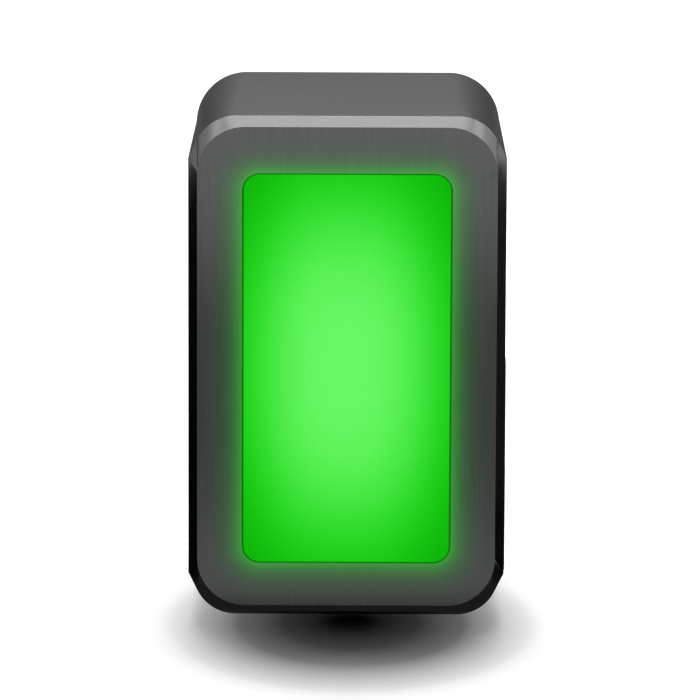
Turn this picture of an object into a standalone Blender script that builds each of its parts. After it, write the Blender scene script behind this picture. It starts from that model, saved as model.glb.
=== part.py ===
"""Compact wall battery unit with a back-lit front window, as separate working pieces.

Frame: metres, +Z up, the front faces -Y, x = 0 is the middle of the width, y = 0 the middle of
the depth over the wall bracket, and z = 0 the surface under the rubber feet.
Depths are counted from the front face towards the wall.
"""

import math

import bmesh
import bpy
from mathutils import Vector

# ---------------------------------------------------------------- driving dimensions
WIDTH = 0.300
HEIGHT = 0.482
FOOT_RISE = 0.008  # underside of the front cover above the floor
CASE_DEPTH = 0.271  # front face to the rear edge of the shell
WALL_GAP = 0.024  # rear cover to the wall
GAP = 0.0003  # between pieces that touch
CORNER_STEPS = 7  # straight pieces in a quarter round of the case
ROUND_STEPS = 5  # straight pieces in the rounded rear edge
SHARP_ANGLE = math.radians(30)

FRONT_RADIUS = 0.0404
FRONT_LEAN = 0.0045  # how far the front corners' arcs are set in from the sides
REAR_RADIUS = 0.052
TAPER = 0.00244  # each side of the shell draws in this much towards the rear
REAR_ROUND = (0.020, 0.0055)  # length and drop of the shell's rounded rear edge
SHELL_WALL = 0.0025

CHAMFER_SIDE = 0.0085
CHAMFER_TOP = 0.0097
CHAMFER_DEPTH = 0.005
FACE_RADIUS = 0.0455
BEZEL_FACE = 0.0045  # thickness of the cover's face
BEZEL_DEPTH = 0.008
RIM_WALL = 0.005

WINDOW_WIDTH = 0.1984
WINDOW_HEIGHT = 0.3772
WINDOW_RADIUS = 0.0170
WINDOW_DROP = 0.0015  # window centre below the cover's centre
SEAL_WIDTH = 0.0013

CELL = Vector((0.050, 0.160, 0.1185))
CELL_PITCH = 0.0504
CELLS_PER_ROW = 5
CELL_FRONT = 0.092  # depth of the cells' front faces
TIER_BASES = (0.028, 0.175, 0.322)

HANDLE_HEIGHT = 0.352
HANDLE_DEPTH = 0.150  # depth of the middle of the carry handles
PANEL_HEIGHT = 0.150
PANEL_DEPTH = 0.052
PANEL_FLOOR = -0.016  # floor of the control recess, below the shell's skin

# ---------------------------------------------------------------- worked-out places
COVER_THICKNESS = 0.0025
FRONT_Y = -(CASE_DEPTH + GAP + COVER_THICKNESS + WALL_GAP) / 2
REAR_Y = FRONT_Y + CASE_DEPTH + GAP + COVER_THICKNESS
WALL_Y = REAR_Y + WALL_GAP
CENTRE_Z = FOOT_RISE + HEIGHT / 2
SHELL_FRONT = BEZEL_DEPTH + GAP
DRAFT = math.atan(TAPER / (CASE_DEPTH - SHELL_FRONT))


def clear_scene():
    for obj in list(bpy.data.objects):
        bpy.data.objects.remove(obj)


def material(name, colour, roughness, metallic=0.0, glow=0.0):
    made = bpy.data.materials.new(name)
    made.use_nodes = True
    shader = made.node_tree.nodes["Principled BSDF"]
    shader.inputs["Base Color"].default_value = (*colour, 1)
    shader.inputs["Roughness"].default_value = roughness
    shader.inputs["Metallic"].default_value = metallic
    shader.inputs["Emission Color"].default_value = (*colour, 1)
    shader.inputs["Emission Strength"].default_value = glow
    return made


# ---------------------------------------------------------------- outlines in a plane
def corner_points(radius, lean):
    """Offsets from a box corner, from the upright side round to the level side."""
    start = math.acos(radius / (radius + lean)) if lean else 0.0
    first = 0 if lean else 1
    count = CORNER_STEPS + first
    points = [(0.0, radius)]
    for i in range(first, count + 1):
        angle = start + (math.pi / 2 - start) * i / count
        points.append((radius + lean - radius * math.cos(angle), radius * (1 - math.sin(angle))))
    return points


def outline(width, height, radius, lean=0.0, centre=(0.0, 0.0)):
    """A rounded rectangle, counter-clockwise; lean cuts a straight slope into each side."""
    corner = corner_points(radius, lean)
    u, v = width / 2, height / 2
    points = [(u - a, b - v) for a, b in reversed(corner)]
    points += [(u - a, v - b) for a, b in corner]
    points += [(a - u, v - b) for a, b in reversed(corner)]
    points += [(a - u, b - v) for a, b in corner]
    return [(x + centre[0], y + centre[1]) for x, y in points]


def case_outline(inset, depth=0.0):
    """The case's outer line at a depth, moved inwards by inset."""
    along = max(0.0, (depth - SHELL_FRONT) / (CASE_DEPTH - SHELL_FRONT))
    inset += TAPER * along
    radius = FRONT_RADIUS + (REAR_RADIUS - FRONT_RADIUS) * along - inset
    lean = FRONT_LEAN * (1 - along) + 1e-5
    return outline(WIDTH - 2 * inset, HEIGHT - 2 * inset, radius, lean)


def window_outline(inset):
    return outline(
        WINDOW_WIDTH - 2 * inset,
        WINDOW_HEIGHT - 2 * inset,
        max(WINDOW_RADIUS - inset, 0.002),
        centre=(0.0, -WINDOW_DROP),
    )


def circle(radius, segments=20, centre=(0.0, 0.0)):
    turn = 2 * math.pi / segments
    return [
        (centre[0] + radius * math.cos(i * turn), centre[1] + radius * math.sin(i * turn))
        for i in range(segments)
    ]


def rectangle(u0, u1, v0, v1):
    return [(u0, v0), (u1, v0), (u1, v1), (u0, v1)]


# ---------------------------------------------------------------- solids
PLACE = {
    "X": lambda along, u, v: (along, u, v),
    "Y": lambda along, u, v: (u, along, v),
    "Z": lambda along, u, v: (u, v, along),
}


def smooth(mesh):
    mesh.shade_smooth()
    mesh.set_sharp_from_angle(angle=SHARP_ANGLE)


def new_object(name, bm, look, place=None):
    mesh = bpy.data.meshes.new(name)
    bmesh.ops.recalc_face_normals(bm, faces=bm.faces)
    bm.to_mesh(mesh)
    bm.free()
    if look:
        mesh.materials.append(look)
    smooth(mesh)
    obj = bpy.data.objects.new(name, mesh)
    bpy.context.scene.collection.objects.link(obj)
    obj.parent = place
    return obj


def loft(name, sections, look=None, axis="Y", ring=False, place=None, location=(0, 0, 0)):
    """Skins the sections, each (distance along the axis, outline), into one closed body.

    A ring joins its last section to its first, and otherwise both ends are capped."""
    bm = bmesh.new()
    put = PLACE[axis]
    loops = [[bm.verts.new(put(along, u, v)) for u, v in line] for along, line in sections]
    count = len(loops[0])
    pairs = list(zip(loops, loops[1:]))
    if ring:
        pairs.append((loops[-1], loops[0]))
    for low, high in pairs:
        for i in range(count):
            j = (i + 1) % count
            bm.faces.new((low[i], low[j], high[j], high[i]))
    if not ring:
        bm.faces.new(loops[0])
        bm.faces.new(loops[-1])
    obj = new_object(name, bm, look, place)
    obj.location = location
    return obj


def box(name, low, high, look=None, bevel=0.0, place=None):
    """A block between two corners, its edges bevelled where bevel is given."""
    low, high = Vector(low), Vector(high)
    bm = bmesh.new()
    bmesh.ops.create_cube(bm, size=1.0)
    bmesh.ops.scale(bm, vec=high - low, verts=bm.verts)
    bmesh.ops.translate(bm, vec=(low + high) / 2, verts=bm.verts)
    if bevel:
        bmesh.ops.bevel(
            bm, geom=bm.edges[:], offset=bevel, segments=1, affect="EDGES", profile=0.5
        )
    return new_object(name, bm, look, place)


def prism(name, profile, start, end, look=None, axis="X", place=None):
    """A profile pushed along an axis."""
    return loft(name, [(start, profile), (end, profile)], look, axis, place=place)


def bake(obj):
    """Replaces the object's mesh by what its modifiers make of it."""
    bpy.context.view_layer.update()
    graph = bpy.context.evaluated_depsgraph_get()
    mesh = bpy.data.meshes.new_from_object(obj.evaluated_get(graph))
    obj.modifiers.clear()
    obj.data = mesh
    smooth(mesh)


def combine(obj, others, operation):
    for i, other in enumerate(others):
        step = obj.modifiers.new(f"{operation} {i}", "BOOLEAN")
        step.operation = operation
        step.object = other
    bake(obj)
    for other in others:
        bpy.data.objects.remove(other)
    return obj


def cut(obj, *cutters):
    return combine(obj, cutters, "DIFFERENCE")


def join(obj, *others):
    return combine(obj, others, "UNION")


def empty(name, location, turn=0.0):
    """An empty that side fittings are parented to; turn is about +Z."""
    obj = bpy.data.objects.new(name, None)
    bpy.context.scene.collection.objects.link(obj)
    obj.location = location
    obj.rotation_euler = (0, 0, turn)
    bpy.context.view_layer.update()
    return obj


def at_depth(depth):
    return FRONT_Y + depth


# ---------------------------------------------------------------- materials
clear_scene()
BRUSHED = material("brushed_plate", (0.11, 0.11, 0.11), 0.38, 0.9)
SATIN = material("satin_shell", (0.05, 0.05, 0.055), 0.42, 0.3)
GLOW = material("green_glow", (0.03, 0.75, 0.02), 0.4, 0.0, 1.0)
RUBBER = material("black_rubber", (0.015, 0.015, 0.015), 0.8)
BLACK_PLASTIC = material("black_plastic", (0.02, 0.02, 0.022), 0.5)
GREY_PLASTIC = material("grey_plastic", (0.12, 0.12, 0.125), 0.5)
WHITE_PLASTIC = material("white_plastic", (0.8, 0.8, 0.78), 0.5)
ZINC = material("zinc_steel", (0.45, 0.46, 0.47), 0.4, 1.0)
STEEL = material("bright_steel", (0.6, 0.6, 0.6), 0.25, 1.0)
ALUMINIUM = material("aluminium", (0.4, 0.4, 0.41), 0.45, 1.0)
BLUE_WRAP = material("cell_wrap", (0.02, 0.09, 0.28), 0.35)
BOARD = material("circuit_board", (0.02, 0.16, 0.07), 0.5)
BRASS = material("brass", (0.65, 0.45, 0.15), 0.3, 1.0)
RED = material("red_plastic", (0.5, 0.02, 0.015), 0.45)


# ---------------------------------------------------------------- front cover
STUD_PLACES = {
    "upper_left": (-0.127, 0.130),
    "upper_right": (0.127, 0.130),
    "lower_left": (-0.127, -0.130),
    "lower_right": (0.127, -0.130),
}
STUD_RADIUS = 0.004
STUD_TIP = 0.022
STUD_HOLE = 0.0045
PANE_FRONT = 0.0002  # the pane and its seal sit this far below the cover's face
CLAMP_OUTSIDE, CLAMP_INSIDE = 0.0070, 0.0065  # the clamp frame beyond the opening, and over the pane
FRAME_FRONT = 0.0092  # depth of the inner frame's front face
FRAME_BACK = 0.0117
# width, height and corner radius
FRAME_OPENING = (0.2260, 0.4040, 0.0260)
TRAY_INSIDE = (0.2184, 0.3964, 0.0220)
TRAY_OUTSIDE = (0.2220, 0.4000, 0.0238)
TRAY_FLANGE = (0.2400, 0.4180, 0.0300)
LED_BOARD = (0.2120, 0.3900, 0.0200)
SHELL_LIP = (0.2500, 0.4310, 0.0340)
REAR_SEAL_OUTSIDE = (0.2480, 0.4290, 0.0330)
REAR_SEAL_INSIDE = (0.2400, 0.4210, 0.0290)
REAR_COVER = (0.2660, 0.4470, 0.0400)
REAR_COVER_CHAMFER = 0.0008


def front_cover():
    """The plate with its window, and what holds the window in it."""
    centre = (0, FRONT_Y, CENTRE_Z)
    face = outline(WIDTH - 2 * CHAMFER_SIDE, HEIGHT - 2 * CHAMFER_TOP, FACE_RADIUS)
    edge = case_outline(0.0)
    pocket = case_outline(RIM_WALL)
    hole = window_outline(0.0)
    loft(
        "front_bezel",
        [
            (0.0, hole),
            (0.0, face),
            (CHAMFER_DEPTH, edge),
            (BEZEL_DEPTH, edge),
            (BEZEL_DEPTH, pocket),
            (BEZEL_FACE, pocket),
            (BEZEL_FACE, hole),
        ],
        BRUSHED,
        ring=True,
        location=centre,
    )
    seal_back = BEZEL_FACE - 0.0005
    loft(
        "window_seal",
        [
            (PANE_FRONT, window_outline(GAP / 2)),
            (seal_back, window_outline(GAP / 2)),
            (seal_back, window_outline(SEAL_WIDTH)),
            (PANE_FRONT, window_outline(SEAL_WIDTH)),
        ],
        RUBBER,
        ring=True,
        location=centre,
    )
    pane = window_outline(SEAL_WIDTH + GAP)
    loft(
        "light_window",
        [(PANE_FRONT, pane), (seal_back, pane)],
        GLOW,
        location=centre,
    )
    clamp_front = BEZEL_FACE + GAP
    clamp_back = FRAME_FRONT - 0.0007
    loft(
        "window_clamp_frame",
        [
            (clamp_front, window_outline(-CLAMP_OUTSIDE)),
            (clamp_back, window_outline(-CLAMP_OUTSIDE)),
            (clamp_back, window_outline(CLAMP_INSIDE)),
            (clamp_front, window_outline(CLAMP_INSIDE)),
        ],
        BLACK_PLASTIC,
        ring=True,
        location=centre,
    )
    for side, (x, z) in STUD_PLACES.items():
        profile = (
            (BEZEL_FACE + GAP, 0.0065),
            (0.0065, 0.0065),
            (0.0065, STUD_RADIUS - 0.0006),
            (STUD_TIP - 0.007, STUD_RADIUS - 0.0006),
            (STUD_TIP - 0.005, STUD_RADIUS),
            (STUD_TIP - 0.002, STUD_RADIUS),
            (STUD_TIP, STUD_RADIUS - 0.002),
        )
        loft(
            f"cover_stud_{side}",
            [(depth, circle(radius, 12)) for depth, radius in profile],
            BLACK_PLASTIC,
            location=(x, FRONT_Y, CENTRE_Z + z),
        )


# ---------------------------------------------------------------- case
def body_shell(side_cutters):
    """The deep-drawn shell: open at the front, turned in to a lip at the rear."""
    length, drop = REAR_ROUND
    straight = CASE_DEPTH - length
    sections = [(SHELL_FRONT, case_outline(0.0, SHELL_FRONT))]
    for i in range(ROUND_STEPS + 1):
        angle = math.pi / 2 * i / ROUND_STEPS
        depth = straight + length * math.sin(angle)
        sections.append((depth, case_outline(drop * (1 - math.cos(angle)), depth)))
    lip = outline(*SHELL_LIP)
    inner_rear = CASE_DEPTH - SHELL_WALL
    sections += [
        (CASE_DEPTH, lip),
        (inner_rear, lip),
        (inner_rear, case_outline(SHELL_WALL + drop, inner_rear)),
        (straight, case_outline(SHELL_WALL, straight)),
        (SHELL_FRONT, case_outline(SHELL_WALL, SHELL_FRONT)),
    ]
    shell = loft("body_shell", sections, SATIN, ring=True, location=(0, FRONT_Y, CENTRE_Z))
    return cut(shell, *side_cutters)


def inner_frame_and_seal():
    """The frame that the cover snaps on to, and the weather seal between the two."""
    centre = (0, FRONT_Y, CENTRE_Z)
    outer = case_outline(SHELL_WALL + GAP, FRAME_BACK)
    inner = outline(*FRAME_OPENING, centre=(0, -WINDOW_DROP))
    frame = loft(
        "front_frame",
        [(FRAME_FRONT, outer), (FRAME_BACK, outer), (FRAME_BACK, inner), (FRAME_FRONT, inner)],
        ZINC,
        ring=True,
        location=centre,
    )
    holes = []
    for x, z in STUD_PLACES.values():
        holes.append(
            loft(
                "stud_hole",
                [(0.0, circle(STUD_HOLE, 12)), (0.02, circle(STUD_HOLE, 12))],
                location=(x, FRONT_Y, CENTRE_Z + z),
            )
        )
    cut(frame, *holes)
    seal_front, seal_back = BEZEL_FACE + GAP, FRAME_FRONT - GAP
    loft(
        "weather_seal",
        [
            (seal_front, case_outline(0.0060)),
            (seal_back, case_outline(0.0060)),
            (seal_back, case_outline(0.0100)),
            (seal_front, case_outline(0.0100)),
        ],
        RUBBER,
        ring=True,
        location=centre,
    )


def light_box():
    """The white tray behind the window and the board of light-emitting diodes in it."""
    centre = (0, FRONT_Y, CENTRE_Z)
    drop = (0, -WINDOW_DROP)
    front, flange, floor = 0.0095, 0.0120, 0.0320
    wall = 0.0018
    inner = outline(*TRAY_INSIDE, centre=drop)
    outer = outline(*TRAY_OUTSIDE, centre=drop)
    ears = outline(*TRAY_FLANGE, centre=drop)
    loft(
        "light_tray",
        [
            (floor, inner),
            (front, inner),
            (front, outer),
            (flange, outer),
            (flange, ears),
            (flange + wall, ears),
            (flange + wall, outer),
            (floor + wall, outer),
        ],
        WHITE_PLASTIC,
        location=centre,
    )
    board = outline(*LED_BOARD, centre=drop)
    loft(
        "led_board",
        [(floor - GAP - 0.0016, board), (floor - GAP, board)],
        WHITE_PLASTIC,
        location=centre,
    )


def rear_closure():
    """Rear seal, rear cover, finned heat sink and pressure vent."""
    centre = (0, FRONT_Y, CENTRE_Z)
    back = CASE_DEPTH
    seal_front = back - SHELL_WALL + 0.0002
    loft(
        "rear_seal",
        [
            (seal_front, outline(*REAR_SEAL_OUTSIDE)),
            (back, outline(*REAR_SEAL_OUTSIDE)),
            (back, outline(*REAR_SEAL_INSIDE)),
            (seal_front, outline(*REAR_SEAL_INSIDE)),
        ],
        RUBBER,
        ring=True,
        location=centre,
    )
    front = back + GAP
    width, height, radius = REAR_COVER
    chamfer = REAR_COVER_CHAMFER
    cover = loft(
        "rear_cover",
        [
            (front, outline(width, height, radius)),
            (front + COVER_THICKNESS - chamfer, outline(width, height, radius)),
            (
                front + COVER_THICKNESS,
                outline(width - 2 * chamfer, height - 2 * chamfer, radius - chamfer),
            ),
        ],
        SATIN,
        location=centre,
    )
    vent_place = (VENT_X, FRONT_Y, CENTRE_Z + VENT_RISE)
    bore = loft(
        "vent_bore",
        [(back - 0.01, circle(0.0062, 16)), (back + 0.01, circle(0.0062, 16))],
        location=vent_place,
    )
    cut(cover, bore)
    face = back + GAP + COVER_THICKNESS
    loft(
        "vent_plug",
        [
            (back - 0.006, circle(0.0058, 18)),
            (face + GAP, circle(0.0058, 18)),
            (face + GAP, circle(0.0100, 18)),
            (face + 0.0045, circle(0.0100, 18)),
            (face + 0.0055, circle(0.0085, 18)),
        ],
        BLACK_PLASTIC,
        location=vent_place,
    )
    heat_sink()


VENT_X, VENT_RISE = -0.112, 0.083  # pressure vent, from the middle of the rear cover
FIN_COUNT = 17
FIN_PITCH = 0.012
FIN_THICKNESS = 0.0020
SINK_BASE = 0.0040
SINK_DEPTH = 0.0180
SINK_SPAN = (0.055, 0.300)  # heights of its lower and upper ends


def heat_sink():
    """An extrusion with upright fins, as one comb-shaped profile."""
    start = REAR_Y + GAP
    half = (FIN_COUNT - 1) / 2 * FIN_PITCH + FIN_THICKNESS
    profile = [(half, start), (-half, start), (-half, start + SINK_BASE)]
    for i in range(FIN_COUNT):
        x = (i - (FIN_COUNT - 1) / 2) * FIN_PITCH
        thin = FIN_THICKNESS / 2
        profile += [
            (x - thin, start + SINK_BASE),
            (x - thin * 0.7, start + SINK_DEPTH),
            (x + thin * 0.7, start + SINK_DEPTH),
            (x + thin, start + SINK_BASE),
        ]
    profile.append((half, start + SINK_BASE))
    prism("heat_sink", profile, *SINK_SPAN, ALUMINIUM, axis="Z")


FOOT_DEPTHS = {"front": 0.064, "rear": 0.228}
FOOT_X = 0.088
FOOT_RADIUS = 0.015


def feet():
    for row, depth in FOOT_DEPTHS.items():
        taper = TAPER * (depth - FOOT_RADIUS + 0.001 - SHELL_FRONT) / (CASE_DEPTH - SHELL_FRONT)
        top = FOOT_RISE + taper - GAP
        for side, x in (("left", -FOOT_X), ("right", FOOT_X)):
            loft(
                f"foot_{row}_{side}",
                [
                    (0.0, circle(FOOT_RADIUS - 0.0025, 20)),
                    (0.0015, circle(FOOT_RADIUS - 0.0010, 20)),
                    (top, circle(FOOT_RADIUS, 20)),
                ],
                RUBBER,
                axis="Z",
                location=(x, at_depth(depth), 0),
            )


# ---------------------------------------------------------------- battery and electronics
TRAY_SHEET, TRAY_RISE = 0.0015, 0.100  # cell tray's thickness, and the height of its ends
TERMINAL_INSET = 0.030  # from the cell's front and rear faces
TERMINAL_RISE = 0.003
CHASSIS_DEPTH = 0.0840


def tier_tray(name, base):
    """A folded tray: floor under a row of cells, and an end plate at each side."""
    half = CELL_PITCH * CELLS_PER_ROW / 2 + 0.0005
    sheet, up = TRAY_SHEET, TRAY_RISE
    profile = [
        (-half - sheet, base),
        (half + sheet, base),
        (half + sheet, base + up),
        (half, base + up),
        (half, base + sheet),
        (-half, base + sheet),
        (-half, base + up),
        (-half - sheet, base + up),
    ]
    start = at_depth(CELL_FRONT)
    prism(name, profile, start, start + CELL.y, ZINC, axis="Y")


def cell_row_mesh():
    """Five prismatic cells bonded side by side, with their terminals, as one block."""
    groove, depth = 0.0008, 0.003
    half = CELL_PITCH * CELLS_PER_ROW / 2
    joints = [(i + 1) * CELL_PITCH - half for i in range(CELLS_PER_ROW - 1)]
    profile = [(-half, 0.0)]
    for x in joints:
        profile += [(x - groove, 0.0), (x, depth), (x + groove, 0.0)]
    profile += [(half, 0.0), (half, CELL.z)]
    for x in reversed(joints):
        profile += [(x + groove, CELL.z), (x, CELL.z - depth), (x - groove, CELL.z)]
    profile.append((-half, CELL.z))
    block = prism("cell_row", profile, 0.0, CELL.y, BLUE_WRAP, axis="Y")
    terminals = []
    for i in range(CELLS_PER_ROW):
        x = (i + 0.5) * CELL_PITCH - half
        for y in (TERMINAL_INSET, CELL.y - TERMINAL_INSET):
            line = circle(0.007, 8)
            post = [(CELL.z - 0.002, line), (CELL.z + TERMINAL_RISE, line)]
            terminals.append(loft("terminal", post, axis="Z", location=(x, y, 0)))
    return join(block, *terminals)


def cell_tiers():
    """Three rows of five cells, each in its tray and under its contact board."""
    block = cell_row_mesh()
    for number, base in enumerate(TIER_BASES, 1):
        tier_tray(f"cell_tray_{number}", base)
        floor = base + TRAY_SHEET + GAP
        row = bpy.data.objects.new(f"cell_row_{number}", block.data)
        row.location = (0, at_depth(CELL_FRONT), floor)
        bpy.context.scene.collection.objects.link(row)
        top = floor + CELL.z + TERMINAL_RISE + GAP
        start = at_depth(CELL_FRONT)
        plate = box(
            f"contact_board_{number}",
            (-0.122, start + 0.010, top),
            (0.122, start + 0.150, top + 0.0020),
            GREY_PLASTIC,
        )
        bars = []
        for line, y in enumerate((TERMINAL_INSET, CELL.y - TERMINAL_INSET)):
            for i in range(2):
                x = (i * 2 + line - 1.5) * CELL_PITCH
                low = (x - 0.035, start + y - 0.010, top + 0.0010)
                high = (x + 0.035, start + y + 0.010, top + 0.0040)
                bars.append(box("bar", low, high))
        join(plate, *bars)
    bpy.data.objects.remove(block)


def electronics():
    """The chassis plate between the bays, and what is fixed to its front."""
    plate = case_outline(SHELL_WALL + 0.004, CHASSIS_DEPTH)
    loft(
        "chassis_plate",
        [(CHASSIS_DEPTH, plate), (CHASSIS_DEPTH + 0.002, plate)],
        ZINC,
        location=(0, FRONT_Y, CENTRE_Z),
    )
    back = at_depth(CHASSIS_DEPTH) - GAP
    board = box(
        "management_board",
        (-0.110, back - 0.0076, 0.270),
        (0.110, back - 0.0060, 0.430),
        BOARD,
    )
    parts = [box("post", (x - 0.004, back - 0.007, z - 0.004), (x + 0.004, back, z + 0.004))
             for x in (-0.100, 0.100) for z in (0.280, 0.420)]
    for x, z, half_x, half_z, tall in (
        (-0.070, 0.385, 0.022, 0.022, 0.016),
        (0.000, 0.395, 0.030, 0.012, 0.010),
        (0.070, 0.380, 0.024, 0.026, 0.018),
        (-0.040, 0.310, 0.040, 0.014, 0.014),
        (0.060, 0.305, 0.030, 0.012, 0.012),
    ):
        low = (x - half_x, back - 0.0066 - tall, z - half_z)
        high = (x + half_x, back - 0.0066, z + half_z)
        parts.append(box("component", low, high))
    join(board, *parts)
    box("contactor", (-0.115, back - 0.040, 0.150), (-0.060, back, 0.225), BLACK_PLASTIC, 0.002)
    shunt = box("current_shunt", (-0.110, back - 0.016, 0.060), (-0.040, back, 0.085), BRASS)
    join(
        shunt,
        box("tab", (-0.125, back - 0.014, 0.064), (-0.025, back - 0.010, 0.081)),
    )
    fuse = loft(
        "main_fuse",
        [(-0.005, circle(0.011, 16)), (0.055, circle(0.011, 16))],
        WHITE_PLASTIC,
        axis="X",
        location=(0, back - 0.0125, 0.180),
    )
    join(
        fuse,
        box("tag", (-0.022, back - 0.0145, 0.172), (0.072, back - 0.0105, 0.188)),
    )


# ---------------------------------------------------------------- side fittings
def side_frame(side, depth, height):
    """An empty on the shell's side, its +X pointing straight out of the sloping skin."""
    out = 1 if side == "right" else -1
    x = WIDTH / 2 - TAPER * (depth - SHELL_FRONT) / (CASE_DEPTH - SHELL_FRONT)
    turn = DRAFT if side == "right" else math.pi - DRAFT
    return empty(f"{side}_side_{round(height * 1000)}", (out * x, at_depth(depth), height), turn)


FLANGE = 0.0030  # flange beyond the recess's outer wall
HANDLE_FLANGE_TOP = 0.0018
PANEL_FLANGE_TOP = 0.0010
RECESS_WALL = 0.0020


def recess(name, length, height, floor, look, place, radius, top):
    """A moulded tray let into the shell's side, with a flange that covers the cut edge."""
    inner = outline(length, height, radius)
    outer = outline(length + 2 * RECESS_WALL, height + 2 * RECESS_WALL, radius + RECESS_WALL)
    wide = 2 * (RECESS_WALL + FLANGE)
    flange = outline(length + wide, height + wide, radius + wide / 2)
    return loft(
        name,
        [
            (floor, inner),
            (top, inner),
            (top, flange),
            (GAP, flange),
            (GAP, outer),
            (floor - RECESS_WALL, outer),
        ],
        look,
        axis="X",
        place=place,
    )


def shell_cutter(length, height, place, radius):
    """The hole in the shell that a recess goes through."""
    room = 2 * (RECESS_WALL + GAP)
    line = outline(length + room, height + room, radius + room / 2)
    return loft("cutter", [(-0.02, line), (0.02, line)], axis="X", place=place)


HANDLE_RECESS = (0.116, 0.062)
HANDLE_CORNER = 0.006
HANDLE_FLOOR = -0.0112
HANDLE_PIVOT = (-0.0070, 0.018)  # below the skin, above the recess's middle
ROD_RADIUS = 0.0032
BAIL_HALF, BAIL_DROP, BAIL_BEND = 0.048, 0.036, 0.009  # half-width, drop, radius of its bends


def carry_handle(side):
    """A folding bail in its recess; its object's origin is on the hinge axis."""
    place = side_frame(side, HANDLE_DEPTH, HANDLE_HEIGHT)
    length, height = HANDLE_RECESS
    cup = recess(
        f"handle_recess_{side}", length, height, HANDLE_FLOOR, BLACK_PLASTIC, place,
        HANDLE_CORNER, HANDLE_FLANGE_TOP,
    )
    below, above = HANDLE_PIVOT
    hole = circle(ROD_RADIUS + 0.0003, 16, (below, above))
    reach = length / 2 + 0.01
    bore = loft("pivot_bore", [(-reach, hole), (reach, hole)], axis="Y", place=place)
    cut(cup, bore)
    cutter = shell_cutter(length, height, place, HANDLE_CORNER)
    half, drop, bend = BAIL_HALF, BAIL_DROP, BAIL_BEND
    end = length / 2 + RECESS_WALL + 0.002
    path = [(-end, 0.0), (-half - bend, 0.0)]
    path += [
        (-half - bend + bend * math.sin(a), -bend + bend * math.cos(a))
        for a in (math.pi / 8, math.pi / 4, 3 * math.pi / 8)
    ]
    path += [(-half, -bend), (-half, -drop + bend)]
    path += [
        (-half + bend - bend * math.cos(a), -drop + bend - bend * math.sin(a))
        for a in (math.pi / 8, math.pi / 4, 3 * math.pi / 8)
    ]
    path.append((-half + bend, -drop))
    path += [(-u, v) for u, v in reversed(path)]
    curve = bpy.data.curves.new(f"carry_handle_{side}", "CURVE")
    curve.dimensions = "3D"
    curve.bevel_depth = ROD_RADIUS
    curve.bevel_resolution = 2
    curve.use_fill_caps = True
    line = curve.splines.new("POLY")
    line.points.add(len(path) - 1)
    for point, (u, v) in zip(line.points, path):
        point.co = (0, u, v, 1)
    curve.materials.append(STEEL)
    handle = bpy.data.objects.new(f"carry_handle_{side}", curve)
    bpy.context.scene.collection.objects.link(handle)
    handle.parent = place
    handle.location = (below, 0, above)
    return cutter


PANEL_RECESS = (0.056, 0.196)
PANEL_CORNER = 0.0015
KNOB_Z, BUTTON_Z = 0.064, 0.022
PLUS_Z, MINUS_Z, DATA_Z = -0.032, -0.060, -0.084
HINGE_Z = 0.000
FLAP_BOTTOM = -0.0975
KNOB_SHAFT = 0.004
SPRING_WIRE, SPRING_RADIUS = 0.0004, 0.0055
PIN_RADIUS, PIN_BORE = 0.0014, 0.0018
FLAP_PIVOT = -0.0042  # below the skin
EARTH_Y = 0.015


def ring_cutter(radius, z, place, start=-0.03, end=0.0, y=0.0):
    line = circle(radius, 20, (y, z))
    return loft("hole", [(start, line), (end, line)], axis="X", place=place)


def control_panel():
    """The recess on the right side with switch, button, sockets and hinged flap."""
    place = side_frame("right", PANEL_DEPTH, PANEL_HEIGHT)
    length, height = PANEL_RECESS
    panel = recess(
        "control_panel", length, height, PANEL_FLOOR, BLACK_PLASTIC, place,
        PANEL_CORNER, PANEL_FLANGE_TOP,
    )
    pin_end = length / 2 + RECESS_WALL + 0.001
    pin_hole = loft(
        "pin_hole",
        [(-pin_end - 0.002, circle(PIN_BORE, 12)), (pin_end + 0.002, circle(PIN_BORE, 12))],
        axis="Y",
        place=place,
    )
    pin_hole.location = (FLAP_PIVOT, 0, HINGE_Z)
    cut(
        panel,
        ring_cutter(KNOB_SHAFT + 0.0004, KNOB_Z, place),
        ring_cutter(0.0095, BUTTON_Z, place),
        ring_cutter(0.0083, PLUS_Z, place),
        ring_cutter(0.0083, MINUS_Z, place),
        box("port_hole", (-0.03, -0.0183, DATA_Z - 0.0078), (0.0, 0.0003, DATA_Z + 0.0078),
            place=place),
        ring_cutter(0.0034, DATA_Z, place, y=EARTH_Y),
        pin_hole,
    )
    cutter = shell_cutter(length, height, place, PANEL_CORNER)
    isolator(place)
    push_button(place)
    sockets(place)
    flap(place, pin_end)
    return cutter


def isolator(place):
    """Rotary battery isolator: a grip knob on a shaft, and the switch body behind."""
    front = PANEL_FLOOR
    knob = loft(
        "isolator_knob",
        [
            (front - 0.0080, circle(KNOB_SHAFT)),
            (front + 0.0008, circle(KNOB_SHAFT)),
            (front + 0.0008, circle(0.0170)),
            (front + 0.0048, circle(0.0170)),
            (front + 0.0060, circle(0.0158)),
        ],
        RED,
        axis="X",
        place=place,
    )
    knob.location = (0, 0, KNOB_Z)
    grip = box(
        "grip", (front + 0.004, -0.0040, -0.0145), (front + 0.0145, 0.0040, 0.0145),
        bevel=0.0012, place=place,
    )
    grip.location = (0, 0, KNOB_Z)
    join(knob, grip)
    rear = front - RECESS_WALL - GAP
    body = box(
        "isolator_body", (rear - 0.040, -0.016, KNOB_Z - 0.022),
        (rear, 0.022, KNOB_Z + 0.022), GREY_PLASTIC, 0.0015, place,
    )
    cut(body, ring_cutter(KNOB_SHAFT + 0.0006, KNOB_Z, place, rear - 0.008, rear + 0.002))


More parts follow.
